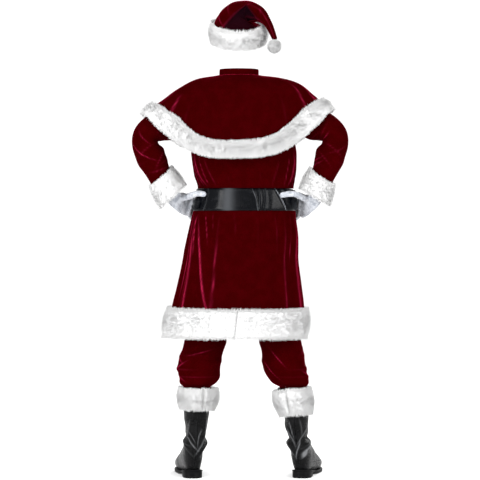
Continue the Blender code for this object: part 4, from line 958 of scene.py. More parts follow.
def pile(backing, outward, down_unit, lean_over, count, long, rng, ring, fall=0.0,
         at_edge=EDGE_STRANDS):
    """Strands rooted on a backing: points, faces, tip marks and shading normals."""
    extra = int(at_edge * count)
    down = np.concatenate([rng.random(count - 2 * extra), EDGE_ROWS * rng.random(extra),
                           1.0 - EDGE_ROWS * rng.random(extra)])
    across = rng.random(len(down))
    size_down = np.linalg.norm(backing[-1] - backing[0], axis=-1).mean() + 0.02
    size_across = np.linalg.norm(np.diff(backing[len(backing) // 2], axis=0), axis=-1).sum()
    tufts_down = max(2, int(size_down / CLUMP))
    tufts_across = max(4, int(size_across / CLUMP))
    jitter = rng.random((tufts_down, tufts_across, 2)) * 0.9 + 0.05
    tuft_down = np.minimum((down * tufts_down).astype(int), tufts_down - 1)
    tuft_across = np.minimum((across * tufts_across).astype(int), tufts_across - 1)
    heart = jitter[tuft_down, tuft_across]
    heart_down = (tuft_down + heart[:, 0]) / tufts_down
    heart_across = (tuft_across + heart[:, 1]) / tufts_across
    swing = (rng.random((tufts_down, tufts_across)) - 0.5)[tuft_down, tuft_across]
    tall = (TUFT_TALL + TUFT_VARIES * rng.random((tufts_down, tufts_across)))[tuft_down, tuft_across]

    def grown(at_down, at_across):
        root = sampled(backing, at_down, at_across, ring)
        up = unit(sampled(outward, at_down, at_across, ring))
        fell = unit(sampled(down_unit, at_down, at_across, ring))
        beside = np.cross(up, fell)
        toward_edge = np.clip(2.0 * at_down - 1.0 + fall, -1, 1)
        lean = (np.sign(toward_edge) * np.abs(toward_edge) ** LEAN_POWER * lean_over)[:, None]
        half = up * np.cos(HALF_LEAN * lean) + fell * np.sin(HALF_LEAN * lean)
        whole = up * np.cos(WHOLE_LEAN * lean) + fell * np.sin(WHOLE_LEAN * lean)
        sideways = beside * (CLUMP_SWING * swing)[:, None]
        reach = (long * tall)[:, None]
        tip = root + (unit(half + 0.5 * sideways) + unit(whole + sideways)) * reach * 0.5
        return root, tip, up, whole

    root, tip, up, ahead = grown(down, across)
    heart_tip = grown(heart_down, heart_across)[1]
    wander = (rng.random((len(down), 3)) - 0.5) * STRAND_WANDER
    tip = tip + (heart_tip - tip) * CLUMP_PULL + wander
    tip = root + (tip - root) * (STRAND_TALL + STRAND_VARIES * rng.random((len(down), 1)))
    root = root - up * STRAND_SUNK
    axis = unit(tip - root)
    beside = unit(np.cross(axis, rng.random((len(down), 3)) - 0.5))
    before = np.cross(axis, beside)
    thick = STRAND_WIDE * (STRAND_THIN + THIN_VARIES * rng.random((len(down), 1)))
    foot = [root + (beside * math.cos(turn) + before * math.sin(turn)) * thick
            for turn in np.radians((0.0, 120.0, 240.0))]
    points = np.stack(foot + [tip], axis=1).reshape(-1, 3)
    first = np.arange(len(down))[:, None] * 4
    faces = np.concatenate([first + corners for corners in ([0, 1, 3], [1, 2, 3], [2, 0, 3])])
    shade = unit(up + ahead * SHADE_LEAN + wander * SHADE_STRAY)
    marks = np.tile([ROOT_TIP, ROOT_TIP, ROOT_TIP, 1.0], len(down))
    return points, faces, marks, np.repeat(shade, 4, axis=0)


def vectors_of(items, name):
    """The three-part values kept at each of a mesh's items, such as a place or a normal."""
    values = np.empty(len(items) * 3)
    items.foreach_get(name, values)
    return values.reshape(-1, 3)


def fur_piece(name, backing_points, backing_faces, strands):
    """One piece from backing and pile; the pile is shaded as one soft surface."""
    pile_points, pile_faces, pile_marks, shade = strands
    start = len(backing_points)
    points = np.concatenate([backing_points, pile_points])
    faces = backing_faces + (start + pile_faces).tolist()
    marks = np.concatenate([np.full(start, BACKING_TIP), pile_marks])
    piece = piece_of(name + "_pile", points, faces, FUR, "fur", [name], {"tip": marks})
    normals = vectors_of(piece.data.vertex_normals, "vector")
    normals[start:] = shade
    piece.data.normals_split_custom_set_from_vertices(normals.tolist())


def fur_band(name, grid, depth, swell, count, long, seed, ring=False, fall=0.0):
    """A strip of fur on a surveyed panel, from its first row to its last; fall turns the pile
    toward the last row, or the first where it is negative."""
    points, normals = grid
    rows, columns = points.shape[:2]
    share = np.linspace(0.0, 1.0, rows)[:, None]
    whole = depth * np.sin(np.pi * (0.5 * BAND_EDGE + share * (1.0 - BAND_EDGE))) ** BAND_ROUND
    whole = whole + swell * (1.0 - share)
    if not ring:
        travelled = travelled_along(points[rows // 2])
        from_end = np.minimum(travelled, travelled[-1] - travelled)
        lumpy = 1.0 + sum(rise * np.sin(travelled * rate + times * seed)
                          for times, (rise, rate) in enumerate(LUMPS, 1))
        whole = whole * lumpy * (1.0 - END_THIN * np.exp(-(from_end / END_ROUND) ** 2))
    backing = points + normals * (whole * BACKING_SHARE)[..., None]
    loops = np.concatenate([points + normals * FACING, backing[::-1]])
    faces = looped_faces(2 * rows, columns, ring)
    if not ring:
        start = np.arange(2 * rows) * columns
        faces += [start.tolist(), (start[::-1] + columns - 1).tolist()]
    down_unit = unit(np.gradient(backing, axis=0))
    along = np.gradient(backing, axis=1)
    if ring:
        along = np.roll(backing, -1, axis=1) - np.roll(backing, 1, axis=1)
    outward = unit(np.cross(down_unit, along))
    outward = outward * np.sign((outward * normals).sum(axis=-1, keepdims=True))
    outward = unit(outward * 0.7 + normals * 0.3)
    strands = pile(backing, outward, unit(np.gradient(points, axis=0)), BAND_LEAN, count, long,
                   np.random.default_rng(seed), ring, fall)
    fur_piece(name, loops.reshape(-1, 3), faces, strands)


def smooth_coat(angle, height):
    """The coat without its narrow creases, which the stiff strip of fur bridges."""
    return sum(coat_surface(angle + step, height) for step in (-8.0, -4.0, 0.0, 4.0, 8.0)) / 5.0


for side, start, end in (("left", SEAM_ANGLE, 179.9), ("right", -179.9, -SEAM_ANGLE)):
    grid = surveyed(smooth_coat, np.linspace(start, end, 171),
                    np.linspace(HEM_HEIGHT, HEM_FUR_TOP, 14)[:, None], 0.8, 0.004)
    fur_band("hem_fur_" + side, grid, depth=0.028, swell=0.004, count=16000, long=0.0150, seed=11,
             fall=-0.25)

CAPE_FUR_EDGE = Table(          # share of the way down at which the cape's fur begins
    "angle share",
    (-180, 0.8),
    (-120, 0.78),
    (-90, 0.76),
    (-79, 0.71),
    (-70, 0.69),
    (-59, 0.715),
    (-47, 0.75),
    (-30, 0.8),
    (0, 0.83),
    (28, 0.815),
    (45, 0.77),
    (60, 0.69),
    (72, 0.7),
    (90, 0.76),
    (120, 0.78),
    (180, 0.8),
)


def cape_foot(angle, row):
    """The cape under its fur; row goes from 0 at the fur's upper edge to 1 at its foot."""
    edge = CAPE_FUR_EDGE.at(angle, "share")
    return cape_surface(angle, edge + (1.0 - edge) * row)


CAPE_STRANDS = {"back": 19500, "front_left": 10000, "front_right": 10000}
for name, columns in CAPE_COLUMNS.items():
    angle = np.linspace(*PANEL_SPAN[name], int(columns * 1.25) + 1)
    grid = surveyed(cape_foot, angle, np.linspace(0.04, 0.99, 12)[:, None], 0.6, 0.04)
    fur_band("cape_fur_" + name, grid, depth=0.018, swell=0.002, count=CAPE_STRANDS[name],
             long=0.0140, seed=21 + columns, fall=0.20)

for side in ("left", "right"):
    station = np.linspace(CUFF_STATION, LAST_STATION, 12)[:, None]
    grid = surveyed(sleeve_surface(side), np.linspace(0.0, 360.0, 91)[:-1], station, 3.0, 0.05)
    fur_band("cuff_fur_" + side, grid, depth=0.014, swell=0.003, count=8500, long=0.0120, seed=31,
             ring=True)

# ---------------------------------------------------------------- belt
# A wide belt of glossy black vinyl, buckled over the coat at the centre front.  It has soft
# dents where it has been folded, and its free end lies on the strap beside the buckle.

STRAP = 0.0032
PLACKET_RISE = PLACKET + FACING
PLACKET_EDGE = (9.0, 1.2)       # degrees from the centre front where it rises, and how softly
BELT_DENTS = Table(
    "top_angle top_height foot_angle foot_height half_width lift crisp",
    (-4.8, 1.125, -12.6, 1.03, 1.2, 0.0022, 0.45),
    (-8.5, 1.18, -13.5, 1.03, 2.2, -0.002, 0),
    (-13, 1.19, -12.9, 1.03, 1, 0.0012, 0.25),
    (-16.5, 1.19, -16.5, 1.01, 1.6, -0.003, 0),
    (-19.5, 1.19, -19.5, 1.01, 1.6, 0.0016, 0.15),
    (-31.5, 1.124, -47.5, 1.04, 1.6, 0.003, 1),
    (-36, 1.15, -53, 1.036, 3.2, -0.0026, 0),
    # This row lifts nothing: it only paints a broad highlight down the belt.
    (16, 1.19, 16, 1.01, 30, 0, 0.27),
    (44, 1.17, 48, 1.02, 1.6, 0.0022, 0.25),
    (47, 1.17, 52, 1.02, 2.4, -0.0016, 0),
    (51, 1.17, 55, 1.02, 3.6, -0.0012, 0),
    (72, 1.17, 70, 1.02, 4, 0.0012, 0),
    (-78, 1.17, -82, 1.02, 4, 0.0012, 0),
    (118, 1.17, 114, 1.02, 3.4, 0.0014, 0),
    (-121, 1.17, -116, 1.02, 3.4, 0.0014, 0),
    (-149, 1.17, -152, 1.02, 2.6, 0.0012, 0),
)


def vinyl_finish():
    made, start, shader = finish("glossy_vinyl", {"Specular IOR Level": 0.08})
    grain = start.noise(620.0, 2.0)
    wave = start.noise(9.0, 2.0, (1.0, 1.0, 0.35))
    rub = start.noise(38.0, 4.0).between(0.52, 0.74)
    # Painted highlight: this mark turns the black vinyl pale grey on the dents' ridges and in one
    # broad band.
    crest = start.mark("crest")
    black = rub.mixed((0.0012, 0.0015, 0.0024), (0.0036, 0.0040, 0.0054))
    feed(shader, Base_Color=(crest ** 2.0).mixed(black, (0.60, 0.63, 0.68)),
         Roughness=0.17 + 0.12 * rub,
         Normal=start.bump(grain, 0.00025, start.bump(wave, 0.010)))
    return made


VINYL = vinyl_finish()


def belt_surface(angle, height):
    edge, softness = PLACKET_EDGE
    off_placket = 1.0 / (1.0 + np.exp((np.abs(wrapped(angle - 180.0)) - edge) / -softness))
    lift = FACING + STRAP + PLACKET_RISE * off_placket + folded(BELT_DENTS, angle, height)[0]
    flat = coat_surface(angle, height)
    return flat + unit(flat - coat_middle(height)) * lift[..., None]


angle = np.linspace(-180.0, 180.0, 481)[None, :-1]
height = np.linspace(BELT_LOW, BELT_HIGH, 11)[:, None]
grid = surveyed(belt_surface, angle, height, 0.4, 0.002)
cloth("belt_strap", sewn_in(grid, ("first", "last")), STRAP, VINYL, "vinyl", ring=True,
      crest=folded(BELT_DENTS, angle, height)[1])

END_WIDE = 0.94                 # width of the belt's free end, of the strap's width
TIP_ANGLE = 144.0
TIP_TAPER = 5.0                 # degrees over which the end narrows to its rounded tip
angle = np.linspace(TIP_ANGLE, 189.0, 64)[None, :]
near_tip = np.clip((angle - TIP_ANGLE) / TIP_TAPER, 0, 1)
half = 0.5 * (BELT_HIGH - BELT_LOW) * END_WIDE * np.sqrt(1.0 - (1.0 - near_tip) ** 2 * 0.90)
height = 0.5 * (BELT_LOW + BELT_HIGH) + half * np.linspace(-1.0, 1.0, 14)[:, None]
points, normals = surveyed(belt_surface, angle, height, 0.5, 0.002)
on_strap = sewn_in((points + normals * (FACING + STRAP), normals), ("first", "last", "left"))
cloth("belt_end", on_strap, STRAP, VINYL, "vinyl")

# ---------------------------------------------------------------- buckle
# A cast brass frame with rounded edges and one tongue across it, brushed and lightly worn.
# It is drawn tight against the belt at the centre front, so neither part can swing.

BUCKLE_BAR = 0.012
BUCKLE_CORNER = 0.010
# The bar's rounded section: shares of its width inward, and of its half depth toward the front.
BAR_SECTION = ((0.0, -0.35), (0.0, 0.35), (0.22, 0.85), (0.5, 1.0), (0.78, 0.85), (1.0, 0.35),
               (1.0, -0.35), (0.78, -0.85), (0.5, -1.0), (0.22, -0.85))
TONGUE_SIDES = 12
TONGUE_TAPER = 0.25
TONGUE_ROUND = 0.06             # half length of its rounded ends, of its own half length
TONGUE_BLUNT = 0.15             # size of its very ends, of its full size


def brass_finish():
    made, start, shader = finish("brushed_brass", {"Metallic": 1.0})
    brushed = start.noise(300.0, 2.0, (0.15, 1.0, 3.0))
    worn = start.noise(45.0, 4.0).between(0.45, 0.70)
    feed(shader, Base_Color=worn.mixed((0.72, 0.50, 0.18), (0.46, 0.30, 0.10)),
         Roughness=0.22 + 0.18 * worn + 0.06 * brushed, Normal=start.bump(brushed, 0.0001))
    return made


BRASS = brass_finish()


def standing_box(node):
    """The middle and half size of a node's box, as the suit stands on the floor."""
    low, high = (np.array(corner) + (0.0, 0.0, NECK_HEIGHT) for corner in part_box(node))
    return 0.5 * (low + high), 0.5 * (high - low)


def buckle_frame(middle, half):
    """Closed loops round a frame with rounded corners and rounded bars, facing -Y."""
    arc = np.linspace(0.0, 0.5 * np.pi, 8)
    loops = []
    for inset, depth in BAR_SECTION:
        rounding = max(BUCKLE_CORNER - inset * BUCKLE_BAR, 0.002)
        straight = half - inset * BUCKLE_BAR - rounding
        for quarter, (across, up) in enumerate(((1, 1), (-1, 1), (-1, -1), (1, -1))):
            turn = arc + 0.5 * np.pi * quarter
            loops.append(middle + points_of(across * straight[0] + rounding * np.cos(turn),
                                            -depth * half[1],
                                            up * straight[2] + rounding * np.sin(turn)))
    return np.concatenate(loops)


points = buckle_frame(*standing_box("belt_buckle"))
faces = looped_faces(len(BAR_SECTION), len(points) // len(BAR_SECTION), True)
turned_out(piece_of("belt_buckle_cast", points, faces, BRASS, "brass", ["belt_buckle"]))


def tongue(middle, half):
    """Rings along the tongue, which tapers to its right end; both ends are rounded."""
    share = np.concatenate([[0.0, 0.006, 0.02], np.linspace(0.06, 0.94, 12), [0.98, 0.994, 1.0]])
    share = share[:, None]
    along = 2.0 * share - 1.0
    past = np.maximum(np.abs(along) - (1.0 - TONGUE_ROUND), 0.0) / TONGUE_ROUND
    size = np.maximum(np.sqrt(np.maximum(1.0 - past ** 2, 0.0)), TONGUE_BLUNT)
    turn = np.linspace(0.0, 2 * np.pi, TONGUE_SIDES + 1)[:-1]
    return middle + points_of(along * half[0], -np.cos(turn) * half[1] * size,
                              np.sin(turn) * half[2] * size * (1.0 - TONGUE_TAPER * share))


def ended_faces(rows, columns):
    """The quads of a tube, and one flat face over each of its ends."""
    start, last = list(range(columns)), (rows - 1) * columns
    return grid_faces(rows, columns, True).tolist() + [start[::-1], [last + k for k in start]]


rings = tongue(*standing_box("belt_prong"))
turned_out(piece_of("belt_tongue", rings.reshape(-1, 3), ended_faces(len(rings), TONGUE_SIDES),
                    BRASS, "brass", ["belt_prong"]))

# ---------------------------------------------------------------- boot uppers
# Black imitation-leather boots with a seam up the back.  The shaft is soft: it sags at the
# ankle in deep creases that run into the seam, and its top is hidden by a fur cuff.

BOOT = Table(
    "station forward left_lean right_lean height tilt half_wide to_front to_back",
    (0, 0, 0.0195, 0.04, 0.345, 0, 0.059, 0.062, 0.062),
    (1, 0, 0.0195, 0.034, 0.297, 0, 0.057, 0.06, 0.06),
    (2, 0, 0.018, 0.0265, 0.248, 0, 0.05, 0.055, 0.056),
    (3, 0, 0.017, 0.0235, 0.205, 2, 0.044, 0.05, 0.05),
    (4, 0, 0.0155, 0.021, 0.168, 6, 0.0395, 0.047, 0.047),
    (5, 0, 0.012, 0.016, 0.135, 16, 0.044, 0.053, 0.051),
    (6, 0.004, 0.006, 0.0095, 0.106, 32, 0.04, 0.06, 0.066),
    (7, 0.02, 0.002, 0.004, 0.085, 48, 0.038, 0.062, 0.094),
    (8, 0.05, 0, 0, 0.07, 62, 0.039, 0.058, 0.07),
    (9, 0.09, 0, 0, 0.056, 75, 0.043, 0.048, 0.06),
    (10, 0.135, 0, 0, 0.045, 84, 0.048, 0.036, 0.05),
    (11, 0.176, 0, 0, 0.037, 90, 0.048, 0.028, 0.04),
    (12, 0.208, 0, 0, 0.032, 92, 0.041, 0.022, 0.03),
    (13, 0.23, 0, 0, 0.028, 94, 0.026, 0.013, 0.02),
)
# Creases of the shaft by turn round it (0 the front, 90 the outer side, 180 the seam).
ANKLE_CREASES = (
    (30, 4.2, -20, 5.6, 10, 0.0044, 0.6),
    (-40, 4, 14, 6, 10, 0.0044, 0.6),
    (60, 3, 84, 4.6, 9, 0.0034, 0.5),
)
BOOT_CREASES = {
    "left": Table(
        "top_turn top_station foot_turn foot_station half_width lift crisp",
        (112, 4, 176, 5.1, 8, 0.0052, 1),
        (128, 3.5, 168, 4.5, 6, 0.0034, 0.6),
        (98, 4.9, 160, 5.7, 8, 0.0034, 0.3),
        (246, 3.9, 186, 5.4, 8, 0.0048, 0.9),
        (270, 4.6, 204, 5.8, 8, 0.0036, 0.3),
        (204, 3.3, 187, 4.7, 6, 0.0036, 0.9),
        (156, 2.2, 166, 3.7, 8, -0.0032, 0),
        (138, 2.4, 124, 4, 8, 0.0034, 0.5),
        (222, 2.3, 232, 3.6, 8, 0.003, 0.5),
        *ANKLE_CREASES,
    ),
    "right": Table(
        "top_turn top_station foot_turn foot_station half_width lift crisp",
        (236, 3.2, 190, 4.7, 8, 0.0052, 0.9),
        (216, 2.4, 196, 4, 6, 0.0036, 0.8),
        (154, 4.4, 184, 5.7, 8, 0.0044, 0.9),
        (254, 4.3, 202, 5.6, 8, 0.0036, 0.5),
        (116, 3.3, 168, 4.7, 8, 0.004, 0.6),
        # This broad one also paints a highlight patch between the outer side and the seam.
        (104, 5.2, 150, 5.8, 34, 0.003, 1.6),
        (158, 2.3, 148, 3.8, 8, 0.0034, 0.4),
        (262, 2.6, 242, 3.7, 8, 0.0032, 0.5),
        *ANKLE_CREASES,
    ),
}
# The shaft is pinched at the ankle; folds run round part of it and across the instep.
INSTEP_ROLLS = (
    (6.6, 0, 0.3, 50, 0, 0.0028, 0.4),
    (7.6, 0, 0.3, 50, 0, 0.0026, 0.4),
    (8.5, 0, 0.3, 55, 0, 0.0022, 0.3),
    (9.6, 5, 0.2, 60, 0.1, 0.0016, 0.3),
    (10.1, -5, 0.16, 60, -0.1, 0.0013, 0.2),
)
BOOT_ROLLS = {
    "left": Table(
        "station turn half_stations half_turn slope lift crisp",
        (4.32, 95, 0.26, 75, 0.1, -0.005, 0),
        (4.4, 262, 0.28, 60, -0.1, -0.003, 0),
        (4.92, 100, 0.24, 62, 0.1, 0.004, 0.4),
        (4.95, 258, 0.26, 56, -0.1, 0.003, 0.3),
        (5.9, 250, 0.34, 50, 0.2, -0.003, 0),
        (4.1, 180, 0.3, 50, 0, -0.002, 0),
        (2.6, 110, 0.4, 50, 0.2, 0.0024, 0.2),
        *INSTEP_ROLLS,
    ),
    "right": Table(
        "station turn half_stations half_turn slope lift crisp",
        (4.45, 100, 0.34, 80, 0.12, -0.0085, 0),
        (4.45, 262, 0.26, 62, -0.08, -0.0065, 0),
        (5.05, 100, 0.28, 62, 0.1, 0.004, 0.4),
        (5.02, 262, 0.22, 56, -0.1, 0.006, 0.4),
        (5.8, 256, 0.3, 46, 0.1, -0.0035, 0),
        (4.2, 180, 0.3, 50, 0, -0.003, 0),
        (3.3, 250, 0.4, 50, -0.2, 0.0022, 0.2),
        *INSTEP_ROLLS,
    ),
}
LEATHER = 0.0024
BOOT_TOE = 0.241                # forward of the ankle
FEET = {"left": (0.195, 0.020, 8.0), "right": (-0.237, 0.018, 11.0)}   # x, y, toe out
BALL = 0.095                    # forward of the ankle
HEEL_BACK = -0.062
HEEL_TOP = 0.034                # at the back of the heel, falling straight to the ball
SOLE_TOP = 0.013
SEAM_TURNS = 1.6                # half the width of the back seam, in degrees
SEAM_EDGES = 1.6                # how far out its turned edges lie, in half widths
SEAM_END = 7.0                  # station at which the back seam has run out
SEAM_RISE, SEAM_GROOVE = 0.0011, 0.0014     # its two turned edges, and the line between them
SEAM_STITCH = 4.6               # degrees from the seam to the stitching on each side
WOBBLE = {"left": 0.8, "right": 2.4}        # where the creases' waviness begins
WOBBLE_TURN, WOBBLE_RATE = 4.0, 1.7         # its degrees to each side, and radians to a station
# how bright the highlight painted on the crests is
CREASE_SHINE, ROLL_SHINE = 0.70, 0.5        # how bright the crests are
BOOT_STITCHES = (0.0040, 0.0028)            # from one to the next, and length of each
CREASED_FROM = 2.0              # the shaft is smooth above this station, under the fur
TOE_TIP_HEIGHT = 0.024
TOE_SHARES = (0.35, 0.60, 0.78, 0.90, 0.97)     # rings that round off the toe


def leather_finish():
    made, start, shader = finish("creased_leather", {"Specular IOR Level": 0.08})
    # Painted highlight: this mark turns the black leather grey on the tops of creases and rolls.
    crest = start.mark("crest")
    grain = start.node("ShaderNodeTexVoronoi", {"feature": "DISTANCE_TO_EDGE"}, {
        "Vector": start.node("ShaderNodeTexCoord", output="Object"), "Scale": 520.0})
    pores = grain.between(0.0, 0.28)
    wrinkle = start.noise(55.0, 4.0, (1.0, 1.0, 0.6), 0.6)
    scuff = start.noise(20.0, 5.0).between(0.50, 0.72)
    black = scuff.mixed((0.0010, 0.0010, 0.0012), (0.0050, 0.0050, 0.0055))
    feed(shader, Base_Color=(crest ** 1.3).mixed(black, (0.230, 0.235, 0.245)),
         Roughness=0.26 + 0.16 * scuff - 0.04 * crest,
         Normal=start.bump(pores, 0.0003, start.bump(wrinkle, 0.0045)))
    return made


BLACK_LEATHER = leather_finish()
BLACK_THREAD = plain_finish("black_thread", (0.010, 0.010, 0.011))


def boot_placed(side, forward, outward, height):
    """Points given by distance ahead of the ankle, to the foot's outer side, and height."""
    x, y, toe_out = FEET[side]
    turn = math.radians(toe_out)
    ahead = np.array([SIGN[side] * math.sin(turn), -math.cos(turn), 0.0])
    away = np.array([SIGN[side] * math.cos(turn), math.sin(turn), 0.0])
    forward, outward, height = np.broadcast_arrays(forward, outward, height)
    return (points_of(np.full(forward.shape, x), y, height) + forward[..., None] * ahead
            + outward[..., None] * away)


def sole_top(forward):
    """How high the sole's upper side is: flat ahead of the ball, and rising to the heel."""
    fall = (BALL - forward) / (BALL - HEEL_BACK)
    return SOLE_TOP + (HEEL_TOP - SOLE_TOP) * np.maximum(0.0, fall)


def boot_lift(side, turn, station):
    """How far creases, rolls and the back seam lift the leather, and how bright a highlight is
    painted near their tops.
    """
    bent = turn + WOBBLE_TURN * np.sin(WOBBLE_RATE * station + WOBBLE[side])
    creases, crest = folded(BOOT_CREASES[side], bent, station, 0.5)
    rolls, edge = ridged(BOOT_ROLLS[side], turn, station)
    seam = wrapped(turn - 180.0) / SEAM_TURNS
    edges, groove = np.exp(-(np.abs(seam) - SEAM_EDGES) ** 2), np.exp(-seam ** 2)
    sewn = np.clip(SEAM_END - station, 0, 1) * (SEAM_RISE * edges - SEAM_GROOVE * groove)
    below = rising(station, CREASED_FROM, CREASED_FROM + 0.5)
    shine = np.maximum(CREASE_SHINE * crest, ROLL_SHINE * edge)
    return (creases + rolls + sewn) * below, shine * below


def boot_surface(side):
    def surface(turn, station):
        angle = np.radians(turn)
        tilt = np.radians(BOOT.at(station, "tilt"))
        lift = boot_lift(side, turn, station)[0]
        half_wide, to_front, to_back = BOOT.at(station, "half_wide to_front to_back")
        forward, height, lean = BOOT.at(station, f"forward height {side}_lean")
        along = np.cos(angle) * (np.where(np.cos(angle) > 0, to_front, to_back) + lift)
        forward = forward + np.cos(tilt) * along
        height = np.maximum(height + np.sin(tilt) * along, sole_top(forward) + FACING)
        outward = np.sin(angle) * (half_wide + lift)
        return boot_placed(side, forward, outward, height) - points_of(SIGN[side] * lean, 0.0, 0.0)

    return surface


NEAR_SEAM = np.array([-4.2, -3.0, -2.1, -1.2, -0.6, 0.6, 1.2, 2.1, 3.0, 4.2])   # degrees from it
BOOT_TURNS = np.concatenate([np.linspace(0.0, 360.0, 81)[:-1], 180.0 + NEAR_SEAM])
BOOT_TURNS = np.sort(BOOT_TURNS)[None, :]
BOOT_ROWS = np.concatenate([np.linspace(0.0, CREASED_FROM, 9),
                            np.linspace(CREASED_FROM, 8.0, 56)[1:],
                            np.linspace(8.0, 13.0, 26)[1:]])[:, None]
for side in ("left", "right"):
    points, normals = surveyed(boot_surface(side), BOOT_TURNS, BOOT_ROWS, 1.0, 0.03)
    crest = boot_lift(side, BOOT_TURNS, BOOT_ROWS)[1]
    tip = boot_placed(side, BOOT_TOE, 0.0, TOE_TIP_HEIGHT).reshape(3)
    heart = points[-1].mean(axis=0)
    share = np.array(TOE_SHARES)[:, None, None]
    around = np.sqrt(1.0 - share ** 2)
    toe = heart + (tip - heart) * share + (points[-1] - heart) * around
    toe_normals = unit(unit(points[-1] - heart) * around + unit(tip - heart) * share)
    skin = (np.concatenate([points, toe]), np.concatenate([normals, toe_normals]))
    crest = np.concatenate([crest, np.zeros((len(toe), crest.shape[1]))])
    cloth("boot_upper_" + side, skin, LEATHER, BLACK_LEATHER, "boot_leather", ring=True, tip=tip,
          crest=crest)
    rows = []
    for off in (-SEAM_STITCH, SEAM_STITCH):
        path = boot_surface(side)(180.0 + off, np.linspace(CREASED_FROM, 6.4, 60))
        out = unit(path - boot_placed(side, 0.0, 0.0, path[:, 2]))
        rows.append(stitches(path, out, *BOOT_STITCHES, STITCH_WIDE))
    piece_of("boot_stitching_" + side, *joined(*rows), BLACK_THREAD, "boot_leather")

# ---------------------------------------------------------------- boot furs
# A strip of the same fur round the top of each boot, sewn on there and joined at the back;
# the inner part of each strip stands off the boot and laps over the join.

FUR_JOIN = 193.0                # turn at which a strip's two ends meet
FLARE = Table(
    "turn depth swell",
    (193, 0.024, 0.004),
    (235, 0.026, 0.006),
    (270, 0.027, 0.011),
    (320, 0.024, 0.004),
    (400, 0.023, 0.001),
    (450, 0.02, -0.002),
    (510, 0.021, 0),
    (553, 0.023, 0.002),
)
FUR_TOP = 0.04                  # station of its upper edge
FUR_LONG = {"left": 1.52, "right": 1.93}    # stations from its top to its foot
FUR_SINK = {"left": 0.10, "right": 0.34}    # stations by which its inner side has slid down
FUR_SEED = {"left": 41, "right": 43}
for side in ("left", "right"):
    turn = np.linspace(FUR_JOIN + 0.3, FUR_JOIN + 359.7, 121)[None, :]
    slid = FUR_SINK[side] * np.exp(-((turn - 262.0) / 55.0) ** 2)
    station = (FUR_TOP + slid
               + (FUR_LONG[side] - 0.5 * slid) * np.linspace(0.0, 1.0, 13)[:, None])
    depth, swell = FLARE.at(turn, "depth swell")
    grid = surveyed(boot_surface(side), turn, station, 3.0, 0.05)
    fur_band("boot_fur_" + side, grid, depth, swell, count=12000, long=0.0145,
             seed=FUR_SEED[side])

# ---------------------------------------------------------------- boot soles
# Black rubber soles with a stitched welt, a tread of cross bars and a stacked block heel,
# glued under the uppers.

SOLE_EDGE = Table(              # the outline of a sole, from its back to its front
    "place forward outward",
    (0, -0.063, 0),
    (1, -0.059, 0.019),
    (2, -0.046, 0.0325),
    (3, -0.02, 0.038),
    (4, 0.03, 0.037),
    (5, 0.06, 0.037),
    (6, 0.1, 0.0445),
    (7, 0.145, 0.049),
    (8, 0.185, 0.048),
    (9, 0.215, 0.04),
    (10, 0.236, 0.025),
    (11, 0.2465, 0),
)
SOLE_FOOT = Table(              # how high its underside is above the floor
    "forward foot",
    (-0.063, 0.0275),
    (0.018, 0.0168),
    (0.055, 0.01),
    (0.094, 0.0008),
    (0.12, 0),
    (0.2, 0),
    (0.247, 0.004),
)
SOLE_SECTION = Table(           # share of the way down its edge, and how far that stands out
    "share out",
    (0, -0.006),
    (0.02, 0.0004),
    (0.1, 0.0012),
    (0.22, 0.001),
    (0.28, -0.0004),
    (0.36, 0.0006),
    (0.9, 0.0002),
    (1, -0.0014),
)
HEEL_FRONT = 0.018
HEEL_SECTION = Table(           # the same for the heel's block
    "share out",
    (0, -0.0004),
    (0.25, -0.0005),
    (0.28, -0.0011),
    (0.31, -0.0006),
    (0.62, -0.0009),
    (0.65, -0.0016),
    (0.68, -0.0008),
    (0.95, -0.001),
    (1, -0.0022),
)
TREAD = 0.0090                  # from one cross bar to the next
TREAD_DEEP = 0.0016
TREAD_REACH = (0.104, 0.226)    # forward of the ankle


def rubber_finish():
    made, start, shader = finish("black_rubber", {"Specular IOR Level": 0.08})
    dust = start.noise(60.0, 4.0).between(0.45, 0.75)
    feed(shader, Base_Color=dust.mixed((0.0015, 0.0015, 0.0018), (0.008, 0.0078, 0.0075)),
         Roughness=0.55 + 0.2 * dust, Normal=start.bump(start.noise(300.0, 3.0), 0.0003))
    return made


RUBBER = rubber_finish()


def slab(side, places, top, foot, section):
    """A closed slab: its mirrored outline at each height of its edge, capped by cross strips."""
    forward, outward = SOLE_EDGE.at(places, "forward outward")
    away = unit(np.stack([-np.gradient(outward), np.gradient(forward) + 1e-9], axis=-1))
    loops = []
    for share, out in section.rows:
        x, y = forward + away[:, 0] * out, np.maximum(outward + away[:, 1] * out, 0.0004)
        height = top + (foot - top) * share
        loops.append(np.concatenate([boot_placed(side, x, y, height),
                                     boot_placed(side, x[::-1], -y[::-1], height[::-1])]))
    columns = 2 * len(places)
    faces = grid_faces(len(loops), columns, True).tolist()
    last = (len(loops) - 1) * columns
    for i in range(len(places) - 1):
        j = columns - 1 - i
        faces.append([i, i + 1, j - 1, j])
        faces.append([last + j, last + j - 1, last + i + 1, last + i])
    return np.concatenate(loops), faces


for side in ("left", "right"):
    places = np.linspace(0.0, 11.0, 150)
    forward = SOLE_EDGE.at(places, "forward")
    bars = np.clip(6.0 * np.abs(((forward / TREAD) % 1.0) - 0.5) - 0.6, 0, 1)
    under = (forward > TREAD_REACH[0]) & (forward < TREAD_REACH[1])
    sole = slab(side, places, sole_top(forward),
                SOLE_FOOT.at(forward, "foot") + TREAD_DEEP * bars * under, SOLE_SECTION)
    back = places[forward < HEEL_FRONT]
    heel_forward = SOLE_EDGE.at(back, "forward")
    heel = slab(side, back, SOLE_FOOT.at(heel_forward, "foot") + 0.0004,
                np.zeros(len(back)), HEEL_SECTION)
    turned_out(piece_of(f"boot_sole_{side}_rubber", *joined(sole, heel), RUBBER, "rubber",
                        ["boot_sole_" + side]))

